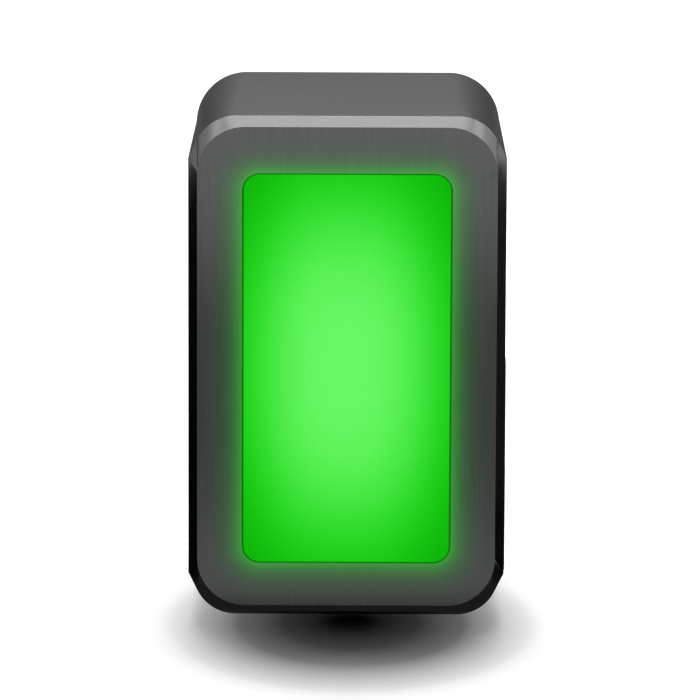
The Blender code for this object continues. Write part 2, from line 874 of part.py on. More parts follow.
def push_button(place):
    """Momentary power button in its metal switch body, on a coil spring."""
    front = PANEL_FLOOR
    loft(
        "button_housing",
        [
            (front - 0.0165, circle(0.0078)),
            (front + 0.0025, circle(0.0078)),
            (front + 0.0025, circle(0.0105)),
            (front + 0.0020, circle(0.0115)),
            (front + GAP, circle(0.0115)),
            (front + GAP, circle(0.0092)),
            (front - 0.0180, circle(0.0092)),
        ],
        STEEL,
        axis="X",
        place=place,
    ).location = (0, 0, BUTTON_Z)
    loft(
        "power_button",
        [
            (front - 0.0040, circle(0.0074)),
            (front + 0.0045, circle(0.0074)),
            (front + 0.0052, circle(0.0066)),
        ],
        STEEL,
        axis="X",
        place=place,
    ).location = (0, 0, BUTTON_Z)
    low, high = front - 0.0165 + GAP, front - 0.0040 - GAP
    wire, radius = SPRING_WIRE, SPRING_RADIUS
    turns, steps = 4, 8
    curve = bpy.data.curves.new("button_spring", "CURVE")
    curve.dimensions = "3D"
    curve.bevel_depth = wire
    curve.bevel_resolution = 1
    curve.use_fill_caps = True
    line = curve.splines.new("POLY")
    line.points.add(turns * steps)
    for i, point in enumerate(line.points):
        angle = 2 * math.pi * i / steps
        share = i / (turns * steps)
        x = low + wire + (high - low - 2 * wire) * share
        point.co = (x, radius * math.cos(angle), radius * math.sin(angle), 1)
    curve.materials.append(STEEL)
    spring = bpy.data.objects.new("button_spring", curve)
    bpy.context.scene.collection.objects.link(spring)
    spring.parent = place
    spring.location = (0, 0, BUTTON_Z)


def sockets(place):
    """Two round battery sockets, a data port and an earth stud."""
    front = PANEL_FLOOR
    for name, z, look in (("socket_plus", PLUS_Z, RED), ("socket_minus", MINUS_Z, BLACK_PLASTIC)):
        loft(
            name,
            [
                (front - 0.0030, circle(0.0022)),
                (front - 0.0100, circle(0.0022)),
                (front - 0.0100, circle(0.0055)),
                (front + 0.0085, circle(0.0055)),
                (front + 0.0085, circle(0.0085)),
                (front + 0.0020, circle(0.0105)),
                (front + GAP, circle(0.0105)),
                (front + GAP, circle(0.0080)),
                (front - 0.0160, circle(0.0080)),
            ],
            look,
            axis="X",
            place=place,
        ).location = (0, 0, z)
    hole = rectangle(-0.0155, -0.0025, DATA_Z - 0.0050, DATA_Z + 0.0050)
    rim = rectangle(-0.0180, 0.0000, DATA_Z - 0.0075, DATA_Z + 0.0075)
    loft(
        "data_port",
        [
            (front - 0.0110, hole),
            (front + 0.0030, hole),
            (front + 0.0030, rim),
            (front - 0.0130, rim),
        ],
        GREY_PLASTIC,
        axis="X",
        place=place,
    )
    stud = loft(
        "earth_stud",
        [(front - 0.0080, circle(0.0030, 12)), (front + 0.0075, circle(0.0030, 12))],
        BRASS,
        axis="X",
        place=place,
    )
    stud.location = (0, EARTH_Y, DATA_Z)
    nut = loft(
        "nut",
        [(front + 0.0008, circle(0.0056, 6)), (front + 0.0055, circle(0.0056, 6))],
        axis="X",
        place=place,
    )
    nut.location = (0, EARTH_Y, DATA_Z)
    join(stud, nut)


def flap(place, pin_end):
    """The hinged cover over the sockets; its origin is on the hinge pin."""
    pivot = (FLAP_PIVOT, 0, HINGE_Z)
    half = PANEL_RECESS[0] / 2 - 0.0005
    cover = box(
        "terminal_cover",
        (0.0030, -half, FLAP_BOTTOM - HINGE_Z),
        (0.0055, half, -0.0005),
        GREY_PLASTIC,
        0.0004,
        place,
    )
    cover.location = pivot
    barrel = loft(
        "barrel",
        [(-half, circle(0.0034, 16)), (half, circle(0.0034, 16))],
        axis="Y",
        place=place,
    )
    barrel.location = pivot
    web = box("web", (0.0005, -half, -0.0034), (0.0045, half, -0.0008), place=place)
    web.location = pivot
    join(cover, barrel, web)
    slots = []
    for y in (-0.012, 0.012):
        slot = loft(
            "cable_slot",
            [(-0.01, circle(0.0055, 16)), (0.02, circle(0.0055, 16))],
            axis="X",
            place=place,
        )
        slot.location = (pivot[0], y, FLAP_BOTTOM)
        slots.append(slot)
    bore = loft(
        "pin_bore",
        [(-half - 0.01, circle(PIN_BORE, 12)), (half + 0.01, circle(PIN_BORE, 12))],
        axis="Y",
        place=place,
    )
    bore.location = pivot
    cut(cover, bore, *slots)
    pin = loft(
        "flap_hinge_pin",
        [(-pin_end, circle(PIN_RADIUS, 12)), (pin_end, circle(PIN_RADIUS, 12))],
        STEEL,
        axis="Y",
        place=place,
    )
    pin.location = pivot


# ---------------------------------------------------------------- wall fixing
HOOK_WIDTH = 0.200
HOOK_BASE = 0.385  # lower edge of the hang rail
HOOK_HEIGHT = 0.040
SHEET = 0.0025
BRACKET_SPAN = (0.345, 0.455)  # heights of the wall bracket's lower and upper edges
BOLT_X, BOLT_HEIGHTS, BOLT_HOLE = 0.080, (0.362, 0.440), 0.0035


def wall_fixing():
    """Hang rail on the unit, bracket for the wall, and a spacer at the bottom."""
    near = REAR_Y + GAP
    top = HOOK_BASE + HOOK_HEIGHT
    lip = near + 0.0095
    hook = [
        (near, HOOK_BASE),
        (near + SHEET, HOOK_BASE),
        (near + SHEET, top - SHEET),
        (lip, top - SHEET),
        (lip, HOOK_BASE + 0.012),
        (lip + SHEET, HOOK_BASE + 0.012),
        (lip + SHEET, top),
        (near, top),
    ]
    prism("hang_rail", hook, -HOOK_WIDTH / 2, HOOK_WIDTH / 2, ZINC)
    wall = WALL_Y
    low, high = BRACKET_SPAN
    inner = near + SHEET + 0.0022
    shelf = HOOK_BASE + 0.0055
    arm = [
        (wall, low),
        (wall, high),
        (wall - SHEET, high),
        (wall - SHEET, shelf + SHEET),
        (inner + SHEET, shelf + SHEET),
        (inner + SHEET, top - SHEET - 0.0008),
        (inner, top - SHEET - 0.0008),
        (inner, shelf),
        (wall - SHEET, shelf),
        (wall - SHEET, low),
    ]
    half = HOOK_WIDTH / 2 + 0.010
    bracket = prism("wall_bracket", arm, -half, half, ZINC)
    holes = []
    line = circle(BOLT_HOLE, 16)
    for x in (-BOLT_X, BOLT_X):
        for z in BOLT_HEIGHTS:
            sections = [(wall - 0.006, line), (wall + 0.003, line)]
            holes.append(loft("bolt_hole", sections, location=(x, 0, z)))
    cut(bracket, *holes)
    box(
        "wall_spacer",
        (-0.085, near, 0.022),
        (0.085, wall - GAP, 0.044),
        BLACK_PLASTIC,
        0.0015,
    )


def build():
    front_cover()
    cutters = [carry_handle("left"), carry_handle("right"), control_panel()]
    body_shell(cutters)
    inner_frame_and_seal()
    light_box()
    rear_closure()
    feet()
    cell_tiers()
    electronics()
    wall_fixing()


build()
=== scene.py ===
"""The looks of the wall battery unit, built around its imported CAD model.

Frame: metres, +Z up, the front faces -Y. Depths are counted from the front face to the wall.
"""

import math

import bmesh
import bpy
from mathutils import Matrix, Vector

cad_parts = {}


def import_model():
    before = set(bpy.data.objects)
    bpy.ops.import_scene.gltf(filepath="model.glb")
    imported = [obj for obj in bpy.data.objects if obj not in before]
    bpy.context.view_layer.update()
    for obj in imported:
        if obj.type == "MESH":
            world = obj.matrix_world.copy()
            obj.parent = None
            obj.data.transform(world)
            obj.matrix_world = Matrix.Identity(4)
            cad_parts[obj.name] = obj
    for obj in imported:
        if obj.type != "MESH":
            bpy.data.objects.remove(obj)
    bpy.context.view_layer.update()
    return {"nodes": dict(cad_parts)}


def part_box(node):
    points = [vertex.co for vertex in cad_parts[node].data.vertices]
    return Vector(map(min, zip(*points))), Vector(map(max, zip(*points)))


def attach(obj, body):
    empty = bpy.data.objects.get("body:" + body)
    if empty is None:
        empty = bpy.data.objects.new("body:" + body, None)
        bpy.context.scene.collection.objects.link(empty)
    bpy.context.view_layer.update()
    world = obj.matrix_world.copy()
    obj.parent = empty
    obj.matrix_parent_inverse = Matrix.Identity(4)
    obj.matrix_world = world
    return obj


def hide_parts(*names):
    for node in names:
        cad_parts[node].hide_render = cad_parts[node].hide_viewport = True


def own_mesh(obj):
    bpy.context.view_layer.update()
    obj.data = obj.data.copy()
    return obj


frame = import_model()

NODES = frame["nodes"]

# ---------------------------------------------------------------- sizes, as in the CAD model
WIDTH, HEIGHT = 0.300, 0.482
FOOT_RISE = 0.008
CASE_DEPTH = 0.271
WALL_GAP = 0.024
GAP = 0.0003
COVER_THICKNESS = 0.0025
FRONT_RADIUS, FRONT_LEAN, REAR_RADIUS = 0.0404, 0.0045, 0.052
TAPER = 0.00244
ROUND_LENGTH, ROUND_DROP = 0.020, 0.0055
SHELL_WALL = 0.0025
CHAMFER_SIDE, CHAMFER_TOP, CHAMFER_DEPTH = 0.0085, 0.0097, 0.005
FACE_RADIUS = 0.0455
BEZEL_FACE, BEZEL_DEPTH, RIM_WALL = 0.0045, 0.008, 0.005
WINDOW_WIDTH, WINDOW_HEIGHT, WINDOW_RADIUS = 0.1984, 0.3772, 0.0170
WINDOW_DROP = 0.0015
SEAL_WIDTH = 0.0013
HANDLE_HEIGHT, HANDLE_DEPTH = 0.352, 0.150
PANEL_HEIGHT, PANEL_DEPTH, PANEL_FLOOR = 0.150, 0.052, -0.016
REAR_OPENING = (0.250, 0.431, 0.034)  # width, height and corner radius
REAR_COVER = (0.266, 0.447, 0.040)
VENT_X, VENT_RISE = -0.112, 0.083
FIN_PITCH = 0.012
FOOT_X = 0.088
FOOT_DEPTHS = {"front": 0.064, "rear": 0.228}

FRONT_Y = -(CASE_DEPTH + GAP + COVER_THICKNESS + WALL_GAP) / 2
REAR_Y = FRONT_Y + CASE_DEPTH + GAP + COVER_THICKNESS
CENTRE_Z = FOOT_RISE + HEIGHT / 2
SHELL_FRONT = BEZEL_DEPTH + GAP
DRAFT = math.atan(TAPER / (CASE_DEPTH - SHELL_FRONT))
CENTRE = Vector((0, FRONT_Y, CENTRE_Z))

CORNER_STEPS = 24  # straight pieces in a quarter round
ROUND_STEPS = 10  # sections in the shell's rounded rear edge
SMOOTH_ANGLE = math.radians(30)
CHAMFER_SHARP = 22  # degrees; the chamfer meets the front face at a shallow angle
LEAST_LEAN = 1e-5  # so that every section of the case has as many points as the others


# ---------------------------------------------------------------- outlines
def corner_points(radius, lean):
    """Offsets from a box corner, from the upright side round to the level side."""
    start = math.acos(radius / (radius + lean)) if lean else 0.0
    first = 0 if lean else 1
    count = CORNER_STEPS + first
    points = [(0.0, radius)]
    for i in range(first, count + 1):
        angle = start + (math.pi / 2 - start) * i / count
        across = radius + lean - radius * math.cos(angle)
        points.append((across, radius * (1 - math.sin(angle))))
    return points


def outline(width, height, radius, lean=0.0, centre=(0.0, 0.0)):
    """A rounded rectangle; lean cuts a straight slope into each side near the corner."""
    corner = corner_points(radius, lean)
    u, v = width / 2, height / 2
    points = [(u - a, b - v) for a, b in reversed(corner)]
    points += [(u - a, v - b) for a, b in corner]
    points += [(a - u, v - b) for a, b in reversed(corner)]
    points += [(a - u, b - v) for a, b in corner]
    return [(x + centre[0], y + centre[1]) for x, y in points]


def case_outline(inset, depth=0.0):
    along = max(0.0, (depth - SHELL_FRONT) / (CASE_DEPTH - SHELL_FRONT))
    inset += TAPER * along
    radius = FRONT_RADIUS + (REAR_RADIUS - FRONT_RADIUS) * along - inset
    lean = FRONT_LEAN * (1 - along) + LEAST_LEAN
    return outline(WIDTH - 2 * inset, HEIGHT - 2 * inset, radius, lean)


def window_outline(inset):
    return outline(
        WINDOW_WIDTH - 2 * inset,
        WINDOW_HEIGHT - 2 * inset,
        max(WINDOW_RADIUS - inset, 0.002),
        centre=(0.0, -WINDOW_DROP),
    )


def circle(radius, segments=48, centre=(0.0, 0.0)):
    turn = 2 * math.pi / segments
    return [
        (centre[0] + radius * math.cos(i * turn), centre[1] + radius * math.sin(i * turn))
        for i in range(segments)
    ]


def hexagon(radius, segments=48):
    """A hexagon with as many points as a circle, so that the two can be skinned together."""
    points = []
    for i in range(segments):
        angle = 2 * math.pi * i / segments
        flat = math.cos(math.pi / 6) / math.cos(angle % (math.pi / 3) - math.pi / 6)
        points.append((radius * flat * math.cos(angle), radius * flat * math.sin(angle)))
    return points


# ---------------------------------------------------------------- meshes
PLACE = {
    "X": lambda along, u, v: (along, u, v),
    "Y": lambda along, u, v: (u, along, v),
    "Z": lambda along, u, v: (u, v, along),
}


def close_up(bm, loops, ring=False):
    """Adds the faces between loops of vertices, and over both ends unless they form a ring."""
    count = len(loops[0])
    pairs = list(zip(loops, loops[1:]))
    if ring:
        pairs.append((loops[-1], loops[0]))
    for low, high in pairs:
        for i in range(count):
            j = (i + 1) % count
            bm.faces.new((low[i], low[j], high[j], high[i]))
    if not ring:
        bm.faces.new(loops[0])
        bm.faces.new(loops[-1])


def skin(bm, sections, axis="Y", ring=False, matrix=None):
    """Adds one closed body through the sections, each (distance along the axis, outline)."""
    put = PLACE[axis]
    matrix = matrix or Matrix.Identity(4)
    loops = [
        [bm.verts.new(matrix @ Vector(put(along, u, v))) for u, v in line]
        for along, line in sections
    ]
    close_up(bm, loops, ring)


def block(bm, low, high, matrix=None):
    """Adds a plain block between two corners, for a bevel modifier to round."""
    low, high = Vector(low), Vector(high)
    made = bmesh.ops.create_cube(bm, size=1.0)["verts"]
    bmesh.ops.scale(bm, vec=high - low, verts=made)
    bmesh.ops.translate(bm, vec=(low + high) / 2, verts=made)
    if matrix:
        bmesh.ops.transform(bm, matrix=matrix, verts=made)


def mesh_object(name, bm, matrix=None):
    mesh = bpy.data.meshes.new(name)
    bmesh.ops.recalc_face_normals(bm, faces=bm.faces)
    bm.to_mesh(mesh)
    bm.free()
    mesh.shade_smooth()
    mesh.set_sharp_from_angle(angle=SMOOTH_ANGLE)
    obj = bpy.data.objects.new(name, mesh)
    bpy.context.scene.collection.objects.link(obj)
    obj.matrix_world = matrix or Matrix.Identity(4)
    return obj


def loft(name, sections, axis="Y", ring=False, matrix=None):
    bm = bmesh.new()
    skin(bm, sections, axis, ring)
    return mesh_object(name, bm, matrix)


def bevel(obj, width, segments=2, angle=30):
    step = obj.modifiers.new("edges", "BEVEL")
    step.width = width
    step.segments = segments
    step.limit_method = "ANGLE"
    step.angle_limit = math.radians(angle)
    step.harden_normals = True
    step.use_clamp_overlap = True
    return obj


def cut(obj, cutters):
    for cutter in cutters:
        step = obj.modifiers.new("cut", "BOOLEAN")
        step.operation = "DIFFERENCE"
        step.object = cutter
    bpy.context.view_layer.update()
    graph = bpy.context.evaluated_depsgraph_get()
    mesh = bpy.data.meshes.new_from_object(obj.evaluated_get(graph))
    obj.modifiers.clear()
    obj.data = mesh
    mesh.shade_smooth()
    mesh.set_sharp_from_angle(angle=SMOOTH_ANGLE)
    for cutter in cutters:
        bpy.data.objects.remove(cutter)


# ---------------------------------------------------------------- material nodes
class Tree:
    """A material's node tree, with short calls for the nodes used here."""

    def __init__(self, name):
        self.material = bpy.data.materials.new(name)
        self.material.use_nodes = True
        self.tree = self.material.node_tree
        self.shader = self.tree.nodes["Principled BSDF"]

    def node(self, kind, inputs=None, **settings):
        made = self.tree.nodes.new(kind)
        for key, value in settings.items():
            setattr(made, key, value)
        for key, value in (inputs or {}).items():
            self.give(made.inputs[key], value)
        return made

    def give(self, socket, value):
        if isinstance(value, bpy.types.NodeSocket):
            self.tree.links.new(value, socket)
        else:
            socket.default_value = value

    def set(self, **values):
        for key, value in values.items():
            self.give(self.shader.inputs[key.replace("_", " ")], value)

    def math(self, operation, a, b=0.0, clamp=False):
        made = self.node("ShaderNodeMath", {0: a, 1: b}, operation=operation, use_clamp=clamp)
        return made.outputs[0]

    def place(self, scale=(1, 1, 1), shift=(0, 0, 0)):
        where = self.node("ShaderNodeTexCoord").outputs["Object"]
        sockets = {"Vector": where, "Scale": scale, "Location": shift}
        return self.node("ShaderNodeMapping", sockets).outputs[0]

    def noise(self, scale, detail=3.0, roughness=0.55, stretch=(1, 1, 1)):
        made = self.node(
            "ShaderNodeTexNoise",
            {
                "Vector": self.place(stretch),
                "Scale": scale,
                "Detail": detail,
                "Roughness": roughness,
            },
        )
        return made.outputs[0]

    def spread(self, value, low, high, start=0.3, end=0.7):
        """Maps a value from start..end, by default a noise's range, to low..high."""
        made = self.node(
            "ShaderNodeMapRange",
            {"Value": value, "From Min": start, "From Max": end, "To Min": low, "To Max": high},
        )
        return made.outputs[0]

    def tint(self, colour, factor):
        """The colour, its brightness multiplied by a varying factor."""
        made = self.node(
            "ShaderNodeVectorMath", {0: colour, "Scale": factor}, operation="SCALE"
        )
        return made.outputs[0]

    def first_bounce(self, level):
        """The level for a ray that comes straight off a piece seen by the camera, else nothing."""
        depth = self.node("ShaderNodeLightPath").outputs["Ray Depth"]
        return self.math("MULTIPLY", self.math("LESS_THAN", depth, 1.5), level)

    def bump(self, height, distance, strength=1.0):
        made = self.node(
            "ShaderNodeBump", {"Height": height, "Distance": distance, "Strength": strength}
        )
        return made.outputs[0]


def finish(name, colour, roughness, metallic, scale, bump, uneven=0.12, stretch=(1, 1, 1)):
    """A finish with uneven colour and gloss at a coarse scale and grain at a fine one."""
    tree = Tree(name)
    coarse = tree.noise(scale * 0.06, 4.0)
    fine = tree.noise(scale, 3.0, 0.6, stretch)
    both = tree.math("ADD", tree.math("MULTIPLY", coarse, 0.5), tree.math("MULTIPLY", fine, 0.5))
    tree.set(
        Base_Color=tree.tint(colour, tree.spread(both, 1 - uneven, 1 + uneven)),
        Roughness=tree.spread(both, roughness - 0.06, roughness + 0.08),
        Normal=tree.bump(fine, bump, 0.6),
        Metallic=metallic,
    )
    return tree.material


PAINTED_GLOW_REACH = 0.0092  # metres over which the painted glow around the window falls to a third
PAINTED_GLOW_LEVEL = 0.29
PAINTED_GLOW_COLOUR = (0.06, 1.0, 0.06)
PAINTED_SHADE_REACH, PAINTED_SHADE_LEVEL = 0.016, 0.48  # painted shade: the metal is darker next to the opening
PLATE_COLOUR = (0.089, 0.089, 0.0905)
PAINTED_TOP_LIGHT = 1.8  # painted light: how much lighter the plate is painted at the upper of these heights
PAINTED_TOP_LIGHT_FROM, PAINTED_TOP_LIGHT_TO = 0.020, 0.185
CHAMFER_COLOUR = (0.100, 0.100, 0.101)
SHELL_COLOUR = (0.024, 0.024, 0.025)


def plate_material():
    """Dark brushed metal, with the window's light spill painted on it as a green glow around the
    opening, painted shade next to the opening and painted light towards the top.
    """
    tree = Tree("brushed_plate")
    split = tree.node("ShaderNodeSeparateXYZ", {0: tree.place()})
    x, z = split.outputs["X"], split.outputs["Z"]
    half_u, half_v = WINDOW_WIDTH / 2 - WINDOW_RADIUS, WINDOW_HEIGHT / 2 - WINDOW_RADIUS
    qx = tree.math("SUBTRACT", tree.math("ABSOLUTE", x), half_u)
    lifted = tree.math("ADD", z, WINDOW_DROP)
    qz = tree.math("SUBTRACT", tree.math("ABSOLUTE", lifted), half_v)
    outside_x = tree.math("MAXIMUM", qx, 0.0)
    outside_z = tree.math("MAXIMUM", qz, 0.0)
    square = tree.math(
        "ADD", tree.math("POWER", outside_x, 2.0), tree.math("POWER", outside_z, 2.0)
    )
    away = tree.math("SUBTRACT", tree.math("SQRT", square), WINDOW_RADIUS)
    away = tree.math("MAXIMUM", away, 0.0)
    # painted glow: the window's green light spill, emitted by the plate itself and fading away
    # from the opening
    painted_glow = tree.math("EXPONENT", tree.math("DIVIDE", away, -PAINTED_GLOW_REACH))
    shade = tree.math("EXPONENT", tree.math("DIVIDE", away, -PAINTED_SHADE_REACH))
    streak = tree.noise(1.0, 4.0, 0.65, (620, 620, 14))
    broad = tree.noise(1.0, 2.0, 0.5, (90, 90, 3))
    grain = tree.math(
        "ADD", tree.math("MULTIPLY", streak, 0.75), tree.math("MULTIPLY", broad, 0.25)
    )
    # painted light: the colour grows lighter towards the top, standing in for the brighter
    # reflection there
    rise = tree.node(
        "ShaderNodeMapRange",
        {
            "Value": z,
            "From Min": PAINTED_TOP_LIGHT_FROM,
            "From Max": PAINTED_TOP_LIGHT_TO,
            "To Min": 1.0,
            "To Max": PAINTED_TOP_LIGHT,
        },
        interpolation_type="SMOOTHSTEP",
    ).outputs[0]
    level = tree.math("MULTIPLY", tree.spread(grain, 0.80, 1.20), rise)
    # painted shade: the colour is darkened next to the opening
    level = tree.math("MULTIPLY", level, tree.spread(shade, 1.0, PAINTED_SHADE_LEVEL, 0.0, 1.0))
    tree.set(
        Base_Color=tree.tint(PLATE_COLOUR, level),
        Roughness=tree.spread(grain, 0.30, 0.46),
        Metallic=1.0,
        Normal=tree.bump(grain, 0.00004, 0.35),
        Emission_Color=tree.tint(PAINTED_GLOW_COLOUR, painted_glow),
        Emission_Strength=PAINTED_GLOW_LEVEL,
    )
    return tree.material


def chamfer_material():
    """The cut edge of the plate: the same metal, turned smooth."""
    tree = Tree("cut_chamfer")
    grain = tree.noise(1.0, 3.0, 0.6, (300, 300, 60))
    tree.set(
        Base_Color=tree.tint(CHAMFER_COLOUR, tree.spread(grain, 0.94, 1.06)),
        Roughness=tree.spread(grain, 0.16, 0.22),
        Metallic=1.0,
        Normal=tree.bump(grain, 0.00002, 0.2),
    )
    return tree.material


WINDOW_WIDE, WINDOW_TALL = 0.0768, 0.1440  # reach of the bright middle, to each side
WINDOW_SHIFT_X, WINDOW_SHIFT_Z = 0.0013, -0.0014
WINDOW_POWER, WINDOW_FALL = 2.425, 3.057
WINDOW_CHANNELS = (  # level at the corners, rise to the middle, and how fast it falls off
    ("Red", 0.005, 0.134, 1.255),
    ("Green", 0.359, 0.574, 0.375),
    ("Blue", 0.003, 0.123, 1.262),
)


def window_material():
    """Green diffuser lit from behind: nearly even in the middle, deeper towards the corners."""
    tree = Tree("green_light")
    split = tree.node("ShaderNodeSeparateXYZ", {0: tree.place()})
    terms = []
    for axis, reach, shift in (
        ("X", WINDOW_WIDE, WINDOW_SHIFT_X),
        ("Z", WINDOW_TALL, WINDOW_SHIFT_Z),
    ):
        offset = tree.math("ADD", split.outputs[axis], shift)
        share = tree.math("DIVIDE", tree.math("ABSOLUTE", offset), reach)
        terms.append(tree.math("POWER", share, WINDOW_POWER))
    radius = tree.math("POWER", tree.math("ADD", *terms), WINDOW_FALL / WINDOW_POWER)
    channels = {}
    for name, low, rise, power in WINDOW_CHANNELS:
        fall = tree.math("EXPONENT", tree.math("MULTIPLY", radius, -power))
        channels[name] = tree.math("ADD", tree.math("MULTIPLY", fall, rise), low)
    grain = tree.noise(900, 2.0)
    light = tree.node("ShaderNodeCombineColor", channels).outputs[0]
    tree.set(
        Base_Color=(0.0, 0.004, 0.0, 1),
        Roughness=tree.spread(grain, 0.42, 0.55),
        Specular_IOR_Level=0.0,
        Normal=tree.bump(grain, 0.00003, 0.3),
        Emission_Color=tree.tint(light, tree.spread(grain, 0.985, 1.015)),
        Emission_Strength=1.0,
    )
    return tree.material


def seal_material():
    """Black rubber with a little of the window's green light painted on it as a glow."""
    tree = Tree("window_rubber")
    grain = tree.noise(700, 3.0)
    tree.set(
        Base_Color=tree.tint((0.004, 0.006, 0.004), tree.spread(grain, 0.8, 1.2)),
        Roughness=tree.spread(grain, 0.60, 0.80),
        Specular_IOR_Level=0.06,
        Normal=tree.bump(grain, 0.00004, 0.5),
        # painted glow: the window's green light on the rubber
        Emission_Color=tree.tint((0.003, 0.17, 0.003), tree.spread(grain, 0.9, 1.1)),
        Emission_Strength=1.0,
    )
    return tree.material


def shell_material():
    """Fine-textured powder coat with slight cloudiness."""
    tree = Tree("powder_coat")
    peel = tree.noise(1400, 3.0, 0.6)
    cloud = tree.noise(9, 4.0, 0.6)
    tree.set(
        Base_Color=tree.tint(SHELL_COLOUR, tree.spread(cloud, 0.93, 1.07)),
        Roughness=tree.spread(peel, 0.38, 0.52),
        Metallic=0.0,
        Specular_IOR_Level=0.20,
        Normal=tree.bump(peel, 0.00005, 0.35),
    )
    return tree.material


SLOTS = {
    "plate": plate_material(),
    "shell": shell_material(),
    "window": window_material(),
    "seal": finish("black_rubber", (0.014, 0.014, 0.014), 0.72, 0.0, 800, 0.00005),
    "black_plastic": finish("black_plastic", (0.020, 0.020, 0.022), 0.48, 0.0, 1300, 0.00006),
    "grey_plastic": finish("grey_plastic", (0.115, 0.117, 0.12), 0.47, 0.0, 1300, 0.00006),
    "white_plastic": finish("white_plastic", (0.78, 0.78, 0.76), 0.42, 0.0, 900, 0.00003, 0.04),
    "red_plastic": finish("red_plastic", (0.48, 0.016, 0.012), 0.38, 0.0, 900, 0.00003, 0.06),
    "zinc": finish("zinc_sheet", (0.46, 0.47, 0.48), 0.36, 1.0, 260, 0.00003, 0.14),
    "steel": finish(
        "brushed_steel", (0.58, 0.58, 0.58), 0.26, 1.0, 700, 0.00002, 0.08, (1, 1, 0.03)
    ),
    "fin_aluminium": finish(
        "extruded_aluminium", (0.075, 0.076, 0.08), 0.42, 0.85, 900, 0.00003, 0.1, (1, 1, 0.02)
    ),
    "cell": finish("cell_wrap", (0.02, 0.09, 0.28), 0.30, 0.0, 400, 0.00003, 0.08),
    "board": finish("circuit_board", (0.014, 0.13, 0.055), 0.38, 0.0, 900, 0.00005, 0.25),
    "brass": finish("brass", (0.62, 0.42, 0.14), 0.28, 1.0, 500, 0.00002, 0.08),
}


def dress(obj, body, slot, *nodes):
    """Gives a new piece its material, the body it rides on and the nodes it stands for."""
    obj.data.materials.clear()
    obj.data.materials.append(SLOTS[slot])
    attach(obj, body)
    if nodes:
        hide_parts(*nodes)
    return obj


# ---------------------------------------------------------------- CAD nodes that stay
# Each keeps its mesh and its faces are joined up again; the ones listed in EDGE_WIDTH also have
# their edges rounded a little.
EDGE_WIDTH = {
    "control_panel": 0.0003,
    "handle_recess_left": 0.0005,
    "handle_recess_right": 0.0005,
    "hang_rail": 0.0006,
    "wall_bracket": 0.0006,
    "wall_spacer": 0.0004,
    "heat_sink": 0.0002,
    "terminal_cover": 0.0002,
    "light_tray": 0.0004,
    "front_frame": 0.0003,
}
for name, obj in NODES.items():
    slot_name = obj.material_slots[0].material.name
    obj.data.materials.clear()
    obj.data.materials.append(SLOTS[slot_name])
    weld = obj.modifiers.new("weld", "WELD")
    weld.merge_threshold = 0.00001
    if name in EDGE_WIDTH:
        flat = obj.modifiers.new("flat", "DECIMATE")
        flat.decimate_type = "DISSOLVE"
        flat.angle_limit = math.radians(1.0)
        bevel(obj, EDGE_WIDTH[name])


# ---------------------------------------------------------------- front cover
BEZEL_RELIEF = 0.0002  # the small break at the edges round the window and at the back
GLASS_BACK = BEZEL_FACE - 0.0005
SEAL_EDGE, SEAL_CROWN, SEAL_STEPS = 0.0009, 0.0007, 6  # depth of its edges, rise between them
PANE_INSET = SEAL_WIDTH + GAP
PANE_RIM, PANE_RIM_FRONT, PANE_FRONT = 0.0020, 0.0002, 0.0005
GLOW_RECEIVERS = bpy.data.collections.new("glow_receivers")
for obj in NODES.values():
    GLOW_RECEIVERS.objects.link(obj)


def keep_glow_off_floor(obj):
    """Lets a glowing piece light the object's own pieces only."""
    obj.light_linking.receiver_collection = GLOW_RECEIVERS


def front_cover():
    centre = Matrix.Translation(CENTRE)
    face = outline(WIDTH - 2 * CHAMFER_SIDE, HEIGHT - 2 * CHAMFER_TOP, FACE_RADIUS)
    edge = case_outline(0.0)
    pocket = case_outline(RIM_WALL)
    hole = window_outline(0.0)
    bezel = loft(
        "front_bezel_plate",
        [
            (BEZEL_RELIEF, hole),
            (0.0, window_outline(-BEZEL_RELIEF)),
            (0.0, face),
            (CHAMFER_DEPTH, edge),
            (BEZEL_DEPTH - BEZEL_RELIEF, edge),
            (BEZEL_DEPTH, case_outline(BEZEL_RELIEF)),
            (BEZEL_DEPTH, pocket),
            (BEZEL_FACE, pocket),
            (BEZEL_FACE, hole),
        ],
        ring=True,
        matrix=centre,
    )
    dress(bezel, "front_cover", "plate", "front_bezel")
    bezel.data.materials.append(chamfer_material())
    for polygon in bezel.data.polygons:
        if polygon.normal.y < -0.2 and polygon.center.y > CHAMFER_DEPTH / 4:
            polygon.material_index = 1
    bezel.data.set_sharp_from_angle(angle=math.radians(CHAMFER_SHARP))
    bevel(bezel, 0.00012, 2, CHAMFER_SHARP)
    keep_glow_off_floor(bezel)
    half = (SEAL_WIDTH - GAP / 2) / 2
    middle = GAP / 2 + half
    crown = []
    for i in range(SEAL_STEPS + 1):
        angle = math.pi * i / SEAL_STEPS
        line = window_outline(middle - half * math.cos(angle))
        crown.append((SEAL_EDGE - SEAL_CROWN * math.sin(angle), line))
    first = (GLASS_BACK, window_outline(GAP / 2))
    last = (GLASS_BACK, window_outline(SEAL_WIDTH))
    gasket = loft(
        "window_gasket",
        [first] + crown + [last],
        ring=True,
        matrix=centre,
    )
    gasket.data.materials.append(seal_material())
    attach(gasket, "front_cover")
    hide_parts("window_seal")
    keep_glow_off_floor(gasket)
    window = loft(
        "window_diffuser",
        [
            (GLASS_BACK, window_outline(PANE_INSET)),
            (GLASS_BACK, window_outline(PANE_INSET + PANE_RIM)),
            (PANE_RIM_FRONT, window_outline(PANE_INSET + PANE_RIM)),
            (PANE_RIM_FRONT, window_outline(PANE_INSET + 0.0003)),
            (PANE_FRONT, window_outline(PANE_INSET)),
        ],
        matrix=centre,
    )
    dress(window, "front_cover", "window", "light_window")
    keep_glow_off_floor(window)


